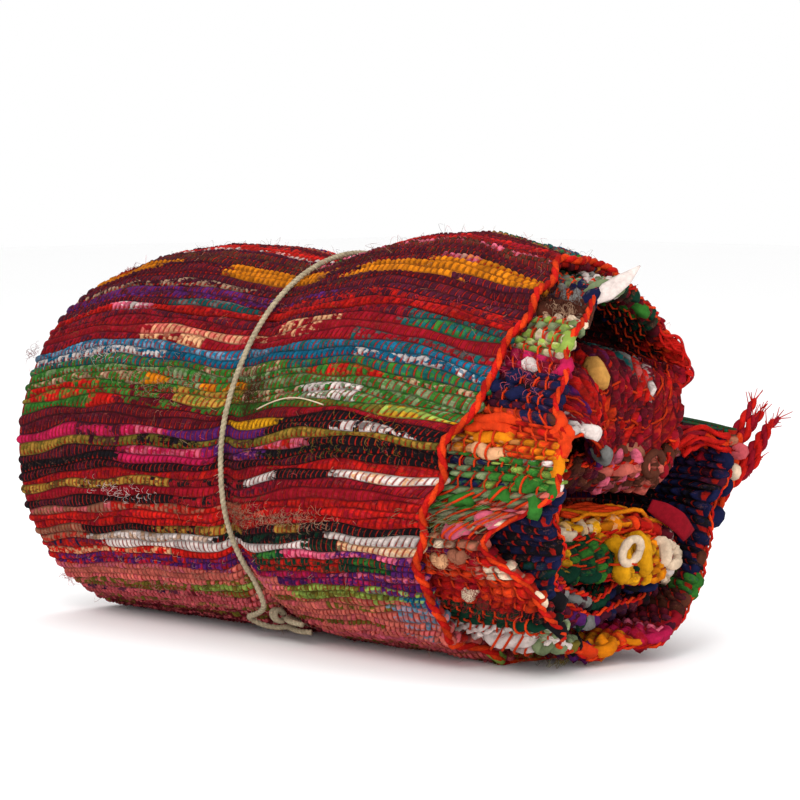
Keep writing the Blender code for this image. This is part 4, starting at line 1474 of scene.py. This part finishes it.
# the same on the inner ply's band, but millimetres from the selvedge
bandFuzz = chart("""
560 20 30 12 240 brown
548 8 16 10 60 beige
345 45 50 16 160 crimson
372 40 50 12 90 tan
400 40 50 14 110 sage
434 20 40 10 70 green
500 30 40 14 70 rose
262 20 50 10 60 olive
""")


def wander(reach):                  # steps of a hair that turns as it goes
    t = np.linspace(0, 1, 6)
    turn = rng.uniform(0, 2 * pi) + rng.normal() * 2 * t
    return t, np.cumsum(np.cos(turn)) * reach, np.cumsum(np.sin(turn)) * reach


def addTuftHair(bundle, line, radius, name):
    taper = np.array([1, 1, 1, 0.9, 0.8, 0.5])
    addTube(bundle, line, radius * taper, 3, linear(name, rng.uniform(0.6, 1.1)))


def looseFibres():
    bundle = newBundle()
    count = fuzz["hairs"] // 2
    places = np.concatenate([rng.uniform(0.20, 0.70, count), rng.uniform(0.0, woundLength, count)])
    for k, s in enumerate(places):
        front = k < count
        ply = 0 if front else int(rng.integers(0, 2))
        x = rng.uniform(-0.22, 0.21) if front else float(edgeAt(s, ply)) - rng.uniform(0, 0.03)
        off = plyMiddle(ply) + roll["ply"] / 2
        base = clothPoint(np.array(s), np.array(x), np.array(off))
        above = clothPoint(np.array(s), np.array(x), np.array(off + 0.01))
        normal = (above - base) / np.linalg.norm(above - base)
        aim = normal * rng.uniform(0.0, 0.4) + rng.normal(size=3) * 0.7
        aim /= np.linalg.norm(aim)
        t = np.linspace(0, 1, 5)[:, None]
        curl = rng.normal(size=3) * 0.003
        hair = base + aim * t * rng.uniform(*fuzz["length"]) + curl * np.sin(t * pi)
        hair[:, 2] = np.maximum(hair[:, 2], 0.0006)
        tone = linear(fuzzRags[int(rng.integers(0, len(fuzzRags)))])
        addTube(bundle, hair, fuzz["radius"] * np.array([1.2, 1, 0.9, 0.7, 0.4]), 3, tone)
    for s, x, wide, high, count, name, reach in tufts:
        for _ in range(int(count)):
            s0 = s / 1000 + rng.normal() * high / 2000
            x0 = x / 1000 + rng.normal() * wide / 2000
            lift = half + roll["ply"] + 0.0004 + rng.uniform(0, 0.0016)
            t, alongX, alongS = wander(reach / 6000)
            rise = rng.uniform(0, 0.004) * np.sin(pi * t)
            hair = clothPoint(np.clip(s0 + alongS, 0.001, 1.6), x0 + alongX, lift + rise)
            addTuftHair(bundle, hair, fuzz["tuftRadius"], name)
    for s, inward, wide, high, count, name in bandFuzz:
        for _ in range(int(count)):
            t, alongX, alongS = wander(0.0012)
            s0 = (s + rng.normal() * high / 2) / 1000
            x0 = (inward + rng.normal() * wide / 2) / 1000
            lift = roll["ply"] / 2 + 0.004 + rng.uniform(0, 0.006) + 0.003 * np.sin(pi * t)
            hair = plyPoint(1, s0 + alongS, np.maximum(x0 + alongX, 0.001), lift)
            addTuftHair(bundle, hair, fuzz["bandRadius"], name)
    t = np.linspace(0, 1, 24)       # one pale thread on the green rows
    bow = np.sin(pi * t)
    thread = clothPoint(0.4555 + 0.0045 * bow, 0.045 + 0.072 * t, half + roll["ply"] + 0.0012 + 0.0015 * bow)
    addTube(bundle, thread, 0.0005, 5, linear("cream"))
    return finishBundle(bundle, "looseFibres", looseFibre)


fibres = looseFibres()
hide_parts("rug")
print("loose fibres")
